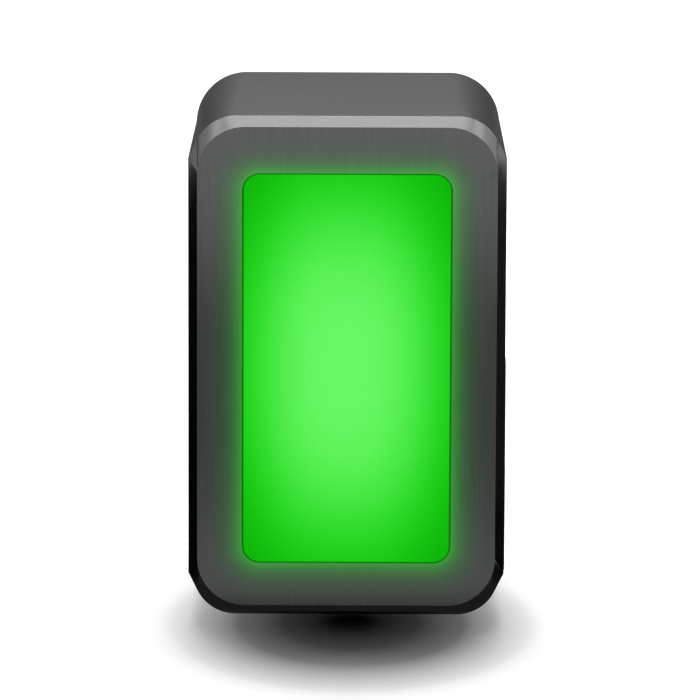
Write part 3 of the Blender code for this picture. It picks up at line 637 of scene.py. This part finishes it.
# ---------------------------------------------------------------- shell
def recess_hole(length, height, radius, place):
    room = 2 * (RECESS_WALL + GAP)
    line = outline(length + room, height + room, radius + room / 2)
    return loft("hole", [(-0.02, line), (0.02, line)], axis="X", matrix=place)


def side_place(side, depth, height):
    """The place of a side fitting: its +X points straight out of the sloping skin."""
    out = 1 if side == "right" else -1
    x = WIDTH / 2 - TAPER * (depth - SHELL_FRONT) / (CASE_DEPTH - SHELL_FRONT)
    turn = DRAFT if side == "right" else math.pi - DRAFT
    spot = Matrix.Translation((out * x, FRONT_Y + depth, height))
    return spot @ Matrix.Rotation(turn, 4, "Z")


RECESS_WALL = 0.0020
HANDLE_LENGTH, HANDLE_TALL, HANDLE_CORNER = 0.116, 0.062, 0.006
PANEL_LENGTH, PANEL_TALL, PANEL_CORNER = 0.056, 0.196, 0.0015
PANEL = side_place("right", PANEL_DEPTH, PANEL_HEIGHT)
HANDLES = {side: side_place(side, HANDLE_DEPTH, HANDLE_HEIGHT) for side in ("left", "right")}


def shell():
    straight = CASE_DEPTH - ROUND_LENGTH
    lead = 0.0005
    sections = [
        (SHELL_FRONT, case_outline(lead, SHELL_FRONT)),
        (SHELL_FRONT + lead, case_outline(0.0, SHELL_FRONT + lead)),
    ]
    for i in range(ROUND_STEPS + 1):
        angle = math.pi / 2 * i / ROUND_STEPS
        depth = straight + ROUND_LENGTH * math.sin(angle)
        sections.append((depth, case_outline(ROUND_DROP * (1 - math.cos(angle)), depth)))
    lip = outline(*REAR_OPENING)
    inside = CASE_DEPTH - SHELL_WALL
    sections += [
        (CASE_DEPTH, lip),
        (inside, lip),
        (inside, case_outline(SHELL_WALL + ROUND_DROP, inside)),
        (straight, case_outline(SHELL_WALL, straight)),
        (SHELL_FRONT, case_outline(SHELL_WALL, SHELL_FRONT)),
    ]
    skin_piece = loft("shell_skin", sections, ring=True, matrix=Matrix.Translation(CENTRE))
    cutters = [
        recess_hole(HANDLE_LENGTH, HANDLE_TALL, HANDLE_CORNER, HANDLES["left"]),
        recess_hole(HANDLE_LENGTH, HANDLE_TALL, HANDLE_CORNER, HANDLES["right"]),
        recess_hole(PANEL_LENGTH, PANEL_TALL, PANEL_CORNER, PANEL),
    ]
    cut(skin_piece, cutters)
    dress(skin_piece, "case", "shell", "body_shell")


# ---------------------------------------------------------------- carry handles
ROD_RADIUS, ROD_SIDES = 0.0032, 24
HANDLE_PIVOT = (-0.0070, 0.018)
HANDLE_FLOOR = -0.0112
BAIL_HALF, BAIL_DROP, BAIL_BEND, BAIL_STEPS = 0.048, 0.036, 0.009, 10
GRIP_HALF, GRIP_RIBS = 0.034, 17


def rod(name, points, radius, matrix):
    """A round bar along a line of points in the plane x = 0, its ends closed."""
    bm = bmesh.new()
    loops = []
    for i, (u, v) in enumerate(points):
        u0, v0 = points[max(i - 1, 0)]
        u1, v1 = points[min(i + 1, len(points) - 1)]
        along = Vector((0, u1 - u0, v1 - v0)).normalized()
        across = Vector((1, 0, 0)).cross(along)
        loops.append([
            bm.verts.new(Vector((0, u, v)) + Vector((1, 0, 0)) * a + across * b)
            for a, b in circle(radius, ROD_SIDES)
        ])
    close_up(bm, loops)
    return mesh_object(name, bm, matrix)


def carry_handle(side):
    place = HANDLES[side] @ Matrix.Translation((HANDLE_PIVOT[0], 0, HANDLE_PIVOT[1]))
    end = HANDLE_LENGTH / 2 + RECESS_WALL + 0.002
    angles = [math.pi / 2 * i / BAIL_STEPS for i in range(BAIL_STEPS + 1)]
    path = [(-end, 0.0)]
    for a in angles:
        path.append((
            -BAIL_HALF - BAIL_BEND + BAIL_BEND * math.sin(a),
            -BAIL_BEND + BAIL_BEND * math.cos(a),
        ))
    for a in angles:
        path.append((
            -BAIL_HALF + BAIL_BEND - BAIL_BEND * math.cos(a),
            -BAIL_DROP + BAIL_BEND - BAIL_BEND * math.sin(a),
        ))
    path += [(-u, v) for u, v in reversed(path)]
    bail = rod(f"handle_bail_{side}", path, ROD_RADIUS, place)
    dress(bail, f"carry_handle_{side}", "steel", f"carry_handle_{side}")
    sections = [(-GRIP_HALF, circle(ROD_RADIUS - 0.0002, 32))]
    for i in range(GRIP_RIBS):
        u = -GRIP_HALF + 2 * GRIP_HALF * (i + 0.5) / GRIP_RIBS
        half = GRIP_HALF / GRIP_RIBS * 0.62
        low, high = ROD_RADIUS + 0.0003, ROD_RADIUS + 0.0007
        sections += [
            (u - half - 0.0003, circle(low, 32)),
            (u - half, circle(high, 32)),
            (u + half, circle(high, 32)),
            (u + half + 0.0003, circle(low, 32)),
        ]
    sections.append((GRIP_HALF, circle(ROD_RADIUS - 0.0002, 32)))
    matrix = place @ Matrix.Translation((0, 0, -BAIL_DROP))
    grip = loft(f"handle_grip_{side}", sections, axis="Y", matrix=matrix)
    dress(grip, f"carry_handle_{side}", "black_plastic")


# ---------------------------------------------------------------- screws
def screw(bm, radius, height, matrix):
    """A button-head screw, its axis along +X, with a hexagon socket."""
    sections = [
        (0.0, circle(radius)),
        (height * 0.45, circle(radius)),
        (height * 0.85, circle(radius * 0.88)),
        (height, circle(radius * 0.70)),
        (height, hexagon(radius * 0.50)),
        (height * 0.25, hexagon(radius * 0.46)),
    ]
    skin(bm, sections, "X", matrix=matrix)


def screws(name, body, places, radius, height, slot_name="steel"):
    bm = bmesh.new()
    for place in places:
        screw(bm, radius, height, place)
    return dress(mesh_object(name, bm), body, slot_name)


TO_REAR = Matrix.Rotation(math.pi / 2, 4, "Z")  # turns +X to +Y
TO_FRONT = Matrix.Rotation(-math.pi / 2, 4, "Z")


# ---------------------------------------------------------------- control panel
KNOB_Z, BUTTON_Z, PLUS_Z, MINUS_Z, DATA_Z = 0.064, 0.022, -0.032, -0.060, -0.084
KNOB_SHAFT = 0.004
BUTTON_SEAT, BUTTON_INNER = 0.0165, 0.0040  # below the panel: housing floor, cap's inner face
SPRING_WIRE, SPRING_RADIUS, SPRING_TURNS = 0.0004, 0.0055, 4
SPRING_STEPS, SPRING_SIDES = 36, 12  # per turn, and round the wire
FLAP_BOTTOM = -0.0975
FLAP_PIVOT = -0.0042


def lathe(name, profile, z, body, slot_name, *nodes, segments=48, ring=False, y=0.0):
    """A turned piece on the control panel, its axis straight out of the panel."""
    matrix = PANEL @ Matrix.Translation((0, y, z))
    sections = [(along, circle(radius, segments)) for along, radius in profile]
    return dress(loft(name, sections, "X", ring, matrix), body, slot_name, *nodes)


def isolator():
    floor = PANEL_FLOOR
    knob = lathe(
        "knob_disc",
        [
            (floor - 0.0080, KNOB_SHAFT),
            (floor + 0.0008, KNOB_SHAFT),
            (floor + 0.0008, 0.0165),
            (floor + 0.0012, 0.0170),
            (floor + 0.0044, 0.0170),
            (floor + 0.0052, 0.0166),
            (floor + 0.0060, 0.0156),
            (floor + 0.0060, 0.0130),
            (floor + 0.0054, 0.0124),
        ],
        KNOB_Z,
        "isolator_knob",
        "red_plastic",
        "isolator_knob",
        segments=72,
    )
    bm = bmesh.new()
    block(bm, (floor + 0.0050, -0.0040, -0.0145), (floor + 0.0145, 0.0040, 0.0145))
    grip = mesh_object("knob_grip", bm, knob.matrix_world.copy())
    bevel(grip, 0.0013, 4)
    dress(grip, "isolator_knob", "red_plastic")
    bm = bmesh.new()
    block(bm, (floor + 0.0142, -0.0006, 0.0040), (floor + 0.01485, 0.0006, 0.0128))
    line = mesh_object("knob_pointer", bm, knob.matrix_world.copy())
    bevel(line, 0.00015)
    dress(line, "isolator_knob", "white_plastic")
    bm = bmesh.new()
    for turn in (0, 90):
        tick = Matrix.Rotation(math.radians(turn), 4, "X")
        block(bm, (floor - 0.0001, -0.0005, 0.0185), (floor + 0.0003, 0.0005, 0.0225), tick)
    ticks = mesh_object("knob_scale", bm, knob.matrix_world.copy())
    bevel(ticks, 0.0001)
    dress(ticks, "case", "white_plastic")


def push_button():
    floor = PANEL_FLOOR
    lathe(
        "button_bezel",
        [
            (floor - BUTTON_SEAT, 0.0078),
            (floor + 0.0018, 0.0078),
            (floor + 0.0025, 0.0084),
            (floor + 0.0025, 0.0104),
            (floor + 0.0020, 0.0112),
            (floor + 0.0010, 0.0115),
            (floor + GAP, 0.0115),
            (floor + GAP, 0.0092),
            (floor - 0.0180, 0.0092),
            (floor - 0.0180, 0.0010),
            (floor - BUTTON_SEAT, 0.0010),
        ],
        BUTTON_Z,
        "case",
        "steel",
        "button_housing",
        ring=True,
    )
    lathe(
        "button_cap",
        [
            (floor - BUTTON_INNER, 0.0074),
            (floor + 0.0040, 0.0074),
            (floor + 0.0048, 0.0070),
            (floor + 0.0052, 0.0062),
            (floor + 0.0052, 0.0054),
            (floor + 0.0048, 0.0051),
            (floor + 0.0049, 0.0020),
        ],
        BUTTON_Z,
        "power_button",
        "steel",
        "power_button",
    )
    lathe(
        "button_light_ring",
        [
            (floor + 0.0047, 0.0037),
            (floor + 0.0053, 0.0037),
            (floor + 0.0053, 0.0045),
            (floor + 0.0047, 0.0045),
        ],
        BUTTON_Z,
        "power_button",
        "window",
        ring=True,
    )


def button_spring():
    """The coil behind the button, wound evenly from the housing floor up to the cap's inner face.
    """
    low, high = PANEL_FLOOR - BUTTON_SEAT + GAP, PANEL_FLOOR - BUTTON_INNER - GAP
    start, rise = low + SPRING_WIRE, high - low - 2 * SPRING_WIRE
    steps = SPRING_TURNS * SPRING_STEPS
    bm = bmesh.new()
    loops = []
    for i in range(steps + 1):
        turn = 2 * math.pi * i / SPRING_STEPS
        radial = Vector((0, math.cos(turn), math.sin(turn)))
        centre = Vector((start + rise * i / steps, 0, 0)) + radial * SPRING_RADIUS
        loops.append([
            bm.verts.new(centre + radial * a + Vector((1, 0, 0)) * b)
            for a, b in circle(SPRING_WIRE, SPRING_SIDES)
        ])
    close_up(bm, loops)
    place = PANEL @ Matrix.Translation((0, 0, BUTTON_Z))
    spring = mesh_object("button_coil", bm, place)
    dress(spring, "case", "steel", "button_spring")
    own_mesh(spring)


def sockets():
    floor = PANEL_FLOOR
    for name, z, slot_name in (
        ("plus", PLUS_Z, "red_plastic"),
        ("minus", MINUS_Z, "black_plastic"),
    ):
        lathe(
            f"socket_body_{name}",
            [
                (floor - 0.0100, 0.0022),
                (floor - 0.0100, 0.0055),
                (floor + 0.0079, 0.0055),
                (floor + 0.0085, 0.0061),
                (floor + 0.0085, 0.0078),
                (floor + 0.0079, 0.0085),
                (floor + 0.0062, 0.0087),
                (floor + 0.0058, 0.0083),
                (floor + 0.0046, 0.0087),
                (floor + 0.0042, 0.0092),
                (floor + 0.0026, 0.0100),
                (floor + 0.0018, 0.0105),
                (floor + GAP, 0.0105),
                (floor + GAP, 0.0080),
                (floor - 0.0160, 0.0080),
                (floor - 0.0160, 0.0022),
            ],
            z,
            "case",
            slot_name,
            f"socket_{name}",
            ring=True,
        )
        lathe(
            f"socket_pin_{name}",
            [
                (floor - 0.0105, 0.0020),
                (floor + 0.0008, 0.0020),
                (floor + 0.0014, 0.0015),
            ],
            z,
            "case",
            "brass",
            segments=32,
        )
    bm = bmesh.new()
    for i in range(8):
        y = -0.0140 + i * 0.00143
        low = (floor - 0.0095, y - 0.0003, DATA_Z - 0.0044)
        high = (floor - 0.0015, y + 0.0003, DATA_Z - 0.0038)
        block(bm, low, high)
    contacts = mesh_object("port_contacts", bm, PANEL.copy())
    bevel(contacts, 0.0001, 1)
    dress(contacts, "case", "brass")
    bm = bmesh.new()
    skin(
        bm,
        [
            (floor - 0.0080, circle(0.0030)),
            (floor + 0.0068, circle(0.0030)),
            (floor + 0.0075, circle(0.0024)),
        ],
        "X",
    )
    skin(
        bm,
        [
            (floor + 0.0002, circle(0.0064)),
            (floor + 0.0009, circle(0.0064)),
            (floor + 0.0009, hexagon(0.0054)),
            (floor + 0.0046, hexagon(0.0056)),
            (floor + 0.0054, hexagon(0.0050)),
        ],
        "X",
    )
    stud = mesh_object("earth_screw", bm, PANEL @ Matrix.Translation((0, 0.015, DATA_Z)))
    dress(stud, "case", "brass", "earth_stud")


def flap_ribs():
    """Low ribs at the foot of the terminal cover, to pull it open by."""
    bm = bmesh.new()
    low, high = FLAP_PIVOT + 0.0052, FLAP_PIVOT + 0.00556
    for i in range(4):
        z = FLAP_BOTTOM + 0.0120 + i * 0.0032
        block(bm, (low, -0.0180, z), (high, 0.0180, z + 0.0012))
    ribs = mesh_object("flap_grip_ribs", bm, PANEL.copy())
    bevel(ribs, 0.0002, 2)
    dress(ribs, "terminal_cover", "grey_plastic")


def panel_screws():
    places = [
        PANEL @ Matrix.Translation((PANEL_FLOOR, y, z))
        for y in (-0.0235, 0.0235)
        for z in (0.0915, 0.0060)
    ]
    screws("panel_screws", "case", places, 0.0024, 0.0014)
    for side in ("left", "right"):
        places = [
            HANDLES[side] @ Matrix.Translation((HANDLE_FLOOR, y, z))
            for y in (-0.0300, 0.0300)
            for z in (-0.0080, 0.0060)
        ]
        screws(f"recess_screws_{side}", "case", places, 0.0026, 0.0012)


# ---------------------------------------------------------------- rear
def rear():
    front = CASE_DEPTH + GAP
    back = front + COVER_THICKNESS
    wide, tall, radius = REAR_COVER
    cover = loft(
        "rear_cover_plate",
        [
            (front, outline(wide, tall, radius)),
            (back - 0.0010, outline(wide, tall, radius)),
            (back - 0.0003, outline(wide - 0.0010, tall - 0.0010, radius - 0.0005)),
            (back, outline(wide - 0.0030, tall - 0.0030, radius - 0.0015)),
        ],
        matrix=Matrix.Translation(CENTRE),
    )
    vent = Matrix.Translation(CENTRE + Vector((VENT_X, 0, VENT_RISE)))
    hole = loft("hole", [(0.26, circle(0.0062)), (0.28, circle(0.0062))], matrix=vent)
    cut(cover, [hole])
    dress(cover, "case", "shell", "rear_cover")
    dress(
        loft(
            "vent_cap",
            [
                (CASE_DEPTH - 0.006, circle(0.0058)),
                (back + GAP, circle(0.0058)),
                (back + GAP, circle(0.0096)),
                (back + GAP + 0.0004, circle(0.0100)),
                (back + 0.0042, circle(0.0100)),
                (back + 0.0050, circle(0.0094)),
                (back + 0.0055, circle(0.0082)),
                (back + 0.0055, hexagon(0.0045)),
                (back + 0.0030, hexagon(0.0042)),
            ],
            matrix=vent,
        ),
        "case",
        "black_plastic",
        "vent_plug",
    )
    places = []
    for x, z in (
        (0.125, 0.20), (0.125, 0.10), (0.125, 0.0), (0.125, -0.10), (0.125, -0.20),
        (0.050, 0.2155), (0.050, -0.2155),
    ):
        for side in (-1, 1):
            spot = Vector((side * x, REAR_Y - 0.0002, CENTRE_Z + z))
            places.append(Matrix.Translation(spot) @ TO_REAR)
    screws("rear_cover_screws", "case", places, 0.0030, 0.0018)
    rail = [
        Matrix.Translation((x, REAR_Y + GAP + 0.0024, 0.4100)) @ TO_REAR
        for x in (-0.085, -0.030, 0.030, 0.085)
    ]
    screws("hang_rail_screws", "case", rail, 0.0040, 0.0010)
    sink = [
        Matrix.Translation((x * FIN_PITCH, REAR_Y + GAP + 0.0039, z)) @ TO_REAR
        for x in (-6.5, -2.5, 2.5, 6.5)
        for z in (0.070, 0.285)
    ]
    screws("heat_sink_screws", "case", sink, 0.0028, 0.0016)


# ---------------------------------------------------------------- feet and inner pieces
def feet():
    for row, depth in FOOT_DEPTHS.items():
        drop = TAPER * (depth - 0.014 - SHELL_FRONT) / (CASE_DEPTH - SHELL_FRONT)
        top = FOOT_RISE + drop - GAP
        for side, x in (("left", -FOOT_X), ("right", FOOT_X)):
            foot = loft(
                f"foot_pad_{row}_{side}",
                [
                    (0.0020, circle(0.0060)),
                    (0.0004, circle(0.0085)),
                    (0.0, circle(0.0095)),
                    (0.0, circle(0.0118)),
                    (0.0006, circle(0.0128)),
                    (0.0016, circle(0.0134)),
                    (0.0030, circle(0.0136)),
                    (0.0034, circle(0.0140)),
                    (top - 0.0006, circle(0.0148)),
                    (top, circle(0.0144)),
                ],
                axis="Z",
                matrix=Matrix.Translation((x, FRONT_Y + depth, 0)),
            )
            dress(foot, "case", "seal", f"foot_{row}_{side}")


DIODE_PITCH = 0.028
DIODE_ROWS, DIODE_COLUMNS = 13, 7


def light_array():
    """Rows of light-emitting diodes on their board, seen when the cover is off."""
    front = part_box("led_board")[0].y
    bm = bmesh.new()
    for i in range(DIODE_COLUMNS):
        for j in range(DIODE_ROWS):
            x = (i - DIODE_COLUMNS // 2) * DIODE_PITCH
            z = CENTRE_Z - WINDOW_DROP + (j - DIODE_ROWS // 2) * DIODE_PITCH
            low = (x - 0.0018, front - 0.0010, z - 0.0014)
            high = (x + 0.0018, front + 0.0001, z + 0.0014)
            block(bm, low, high)
    diodes = mesh_object("light_diodes", bm)
    bevel(diodes, 0.0002, 1)
    dress(diodes, "case", "window")
    keep_glow_off_floor(diodes)
    frame_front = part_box("front_frame")[0].y
    places = []
    for x in (-0.1215, 0.1215):
        for z in (0.06, -0.06, 0.185, -0.185):
            spot = Matrix.Translation((x, frame_front + 0.0002, CENTRE_Z + z))
            places.append(spot @ TO_FRONT)
    screws("front_frame_screws", "case", places, 0.0024, 0.0010)


front_cover()
shell()
for handle_side in HANDLES:
    carry_handle(handle_side)
isolator()
push_button()
button_spring()
sockets()
flap_ribs()
panel_screws()
rear()
feet()
light_array()


# ---------------------------------------------------------------- stage, light and camera
def glow_material(name, level):
    """An even glow that a card shows only straight off the object."""
    tree = Tree(name)
    tree.set(Base_Color=(0, 0, 0, 1), Specular_IOR_Level=0.0, Roughness=1.0)
    tree.set(Emission_Color=(1, 1, 1, 1), Emission_Strength=tree.first_bounce(level))
    return tree.material


FLOOR_RADIUS = 14.0
FLOOR_COLOUR = (0.28, 0.28, 0.28, 1)
PAINTED_SHADOW_OVAL = (0.172, 0.250)  # half-axes of the painted shadow: the dim part of the floor in front of the object
PAINTED_SHADOW_OVAL_CENTRE = (0.005, FRONT_Y)
PAINTED_SHADOW_LIFTS = (  # rise of the glow that paints the shadow's soft edge and brightens the far floor, from and to, in ovals
    (0.03, 0.10, 0.40),
    (0.10, 0.38, 0.66),
    (0.50, 0.62, 1.04),
    (0.45, 0.98, 1.5),
    (0.12, 1.5, 6.0),
)


def floor():
    """A pale floor with a glow of its own that rises away from the object: it paints the soft oval
    edge of the object's shadow and brightens the far floor.
    """
    bm = bmesh.new()
    bmesh.ops.create_circle(bm, cap_ends=True, radius=FLOOR_RADIUS, segments=96)
    disc = mesh_object("floor", bm)
    tree = Tree("floor_white")
    (wide, long), (x, y) = PAINTED_SHADOW_OVAL, PAINTED_SHADOW_OVAL_CENTRE
    oval = tree.place((1 / wide, 1 / long, 0), (-x / wide, -y / long, 0))
    away = tree.node("ShaderNodeVectorMath", {0: oval}, operation="LENGTH").outputs["Value"]
    shadow_glow = 0.0
    for step, start, end in PAINTED_SHADOW_LIFTS:
        shadow_glow = tree.math("ADD", shadow_glow, tree.spread(away, 0.0, step, start, end))
    tree.set(
        Base_Color=FLOOR_COLOUR,
        Roughness=0.9,
        Specular_IOR_Level=0.0,
        Emission_Color=(1, 1, 1, 1),
        Emission_Strength=shadow_glow,
    )
    disc.data.materials.append(tree.material)


def card(name, centre, facing, width, height, level):
    """A panel that shows only in glossy reflections: white at a level above 0, else black."""
    bm = bmesh.new()
    bmesh.ops.create_grid(bm, x_segments=1, y_segments=1, size=0.5)
    turn = Vector(facing).to_track_quat("Z", "Y").to_matrix().to_4x4()
    matrix = Matrix.Translation(centre) @ turn @ Matrix.Diagonal((width, height, 1, 1))
    panel = mesh_object(name, bm, matrix)
    panel.data.materials.append(glow_material(name, level))
    glossy_only(panel)


CARD_LENGTH, CARD_WIDTH, CARD_RISE = 3.2, 3.0, 0.003
CARD_LEVELS = (  # share of the length from the object, and level there
    (0.0, 0.09),
    (0.012, 0.09),
    (0.03, 1.2),
    (0.09, 1.1),
    (0.15, 0.42),
    (0.3, 0.42),
    (0.45, 0.58),
    (0.65, 0.92),
    (1.0, 1.2),
)


def floor_card():
    """A glossy-only card on the floor in front, its level graded away from the object."""
    bm = bmesh.new()
    block(bm, (-0.5, -1, -0.0005), (0.5, 0, 0.0005))
    size = Matrix.Diagonal((CARD_WIDTH, CARD_LENGTH, 1, 1))
    panel = mesh_object("card_floor", bm, Matrix.Translation((0, FRONT_Y, CARD_RISE)) @ size)
    tree = Tree("card_floor")
    along = tree.node("ShaderNodeSeparateXYZ", {0: tree.place()}).outputs["Y"]
    ramp = tree.node("ShaderNodeValToRGB", {"Fac": tree.math("MULTIPLY", along, -1.0)})
    stops = ramp.color_ramp.elements
    while len(stops) < len(CARD_LEVELS):
        stops.new(0.5)
    for stop, (share, level) in zip(stops, CARD_LEVELS):
        stop.position = share
        stop.color = (level, level, level, 1)
    tree.set(Base_Color=(0, 0, 0, 1), Specular_IOR_Level=0.0, Roughness=1.0)
    tree.set(Emission_Color=ramp.outputs["Color"], Emission_Strength=tree.first_bounce(1.0))
    panel.data.materials.append(tree.material)
    glossy_only(panel)


def glossy_only(panel):
    panel.visible_camera = False
    panel.visible_diffuse = False
    panel.visible_shadow = False
    panel.visible_transmission = False


LAMP_TARGET = Vector((0, -0.2, 0))


def lamp(name, place, size, power):
    """An oval soft lamp overhead, aimed at the floor just before the object."""
    data = bpy.data.lights.new(name, "AREA")
    data.shape = "ELLIPSE"
    data.size, data.size_y = size
    data.energy = power
    obj = bpy.data.objects.new(name, data)
    bpy.context.scene.collection.objects.link(obj)
    obj.location = place
    obj.rotation_euler = (obj.location - LAMP_TARGET).to_track_quat("Z", "Y").to_euler()


WORLD_GLOSS = 0.15
WORLD_DIFFUSE = 0.010


def world():
    """White to the camera, dim in reflections and nearly dark as a light."""
    made = bpy.data.worlds.new("studio")
    bpy.context.scene.world = made
    made.use_nodes = True
    tree = made.node_tree
    sky = tree.nodes["Background"]
    path = tree.nodes.new("ShaderNodeLightPath")
    seen = tree.nodes.new("ShaderNodeMath")
    seen.operation = "MULTIPLY_ADD"
    tree.links.new(path.outputs["Is Camera Ray"], seen.inputs[0])
    seen.inputs[1].default_value = 1.0
    gloss = tree.nodes.new("ShaderNodeMath")
    gloss.operation = "MULTIPLY_ADD"
    tree.links.new(path.outputs["Is Glossy Ray"], gloss.inputs[0])
    gloss.inputs[1].default_value = WORLD_GLOSS
    gloss.inputs[2].default_value = WORLD_DIFFUSE
    tree.links.new(gloss.outputs[0], seen.inputs[2])
    tree.links.new(seen.outputs[0], sky.inputs["Strength"])
    sky.inputs["Color"].default_value = (1, 1, 1, 1)


AIM = Vector((0.0030, FRONT_Y, 0.2666))
PITCH, ROLL = 12.27, 0.24  # degrees
DISTANCE = 6.6
LENS = 359.3  # millimetres


def camera():
    lens = bpy.data.cameras.new("camera")
    lens.lens = LENS
    lens.sensor_width = 36.0
    lens.clip_end = 60.0
    obj = bpy.data.objects.new("camera", lens)
    bpy.context.scene.collection.objects.link(obj)
    pitch = math.radians(PITCH)
    away = Vector((0, -math.cos(pitch), math.sin(pitch)))
    look = away.to_track_quat("Z", "Y").to_matrix().to_4x4()
    roll = Matrix.Rotation(math.radians(ROLL), 4, "Z")
    obj.matrix_world = Matrix.Translation(AIM + away * DISTANCE) @ look @ roll
    bpy.context.scene.camera = obj


CARDS = (  # name, centre, facing, width, height, level
    ("card_front_high", (0, -2.55, 2.70), (0, 2.45, -2.3), 3.0, 1.2, 4.5),
    ("card_high_left", (-1.75, -2.5, 2.35), (1.7, 2.35, -1.9), 1.5, 1.4, 3.6),
    ("card_high_right", (1.75, -2.5, 2.35), (-1.7, 2.35, -1.9), 1.5, 1.4, 4.1),
    ("card_front_left", (-2.9, -2.45, 1.35), (2.75, 2.3, -0.9), 2.0, 2.1, 1.3),
    ("card_front_right", (2.9, -2.45, 1.35), (-2.75, 2.3, -0.9), 2.0, 2.1, 1.9),
    ("flag_floor_left", (-0.70, FRONT_Y - 0.5, 0.006), (0, 0, 1), 1.0, 1.0, 0.0),
    ("flag_floor_right", (0.70, FRONT_Y - 0.5, 0.006), (0, 0, 1), 1.0, 1.0, 0.01),
    ("flag_left", (-0.4, -0.42, 0.01), (1, 0, 0), 0.90, 0.87, 0.0),
    ("flag_right", (0.4, -0.42, 0.01), (-1, 0, 0), 0.90, 0.87, 0.04),
    ("flag_floor_rear", (0, 2.3, 0.005), (0, 0, 1), 3.0, 4.2, 0.2),
    ("flag_rear", (0, 5.0, 0.3), (0, -1, 0), 7.0, 0.9, 0.0),
)

floor()
lamp("key", (0, 1.30, 3.0), (1.8, 1.9), 172)
lamp("overhead", (0, 0.95, 3.1), (2.6, 2.5), 38)
world()
camera()
for row in CARDS:
    card(*row)
floor_card()
bpy.context.scene.view_settings.view_transform = "Standard"
bpy.context.scene.view_settings.look = "None"
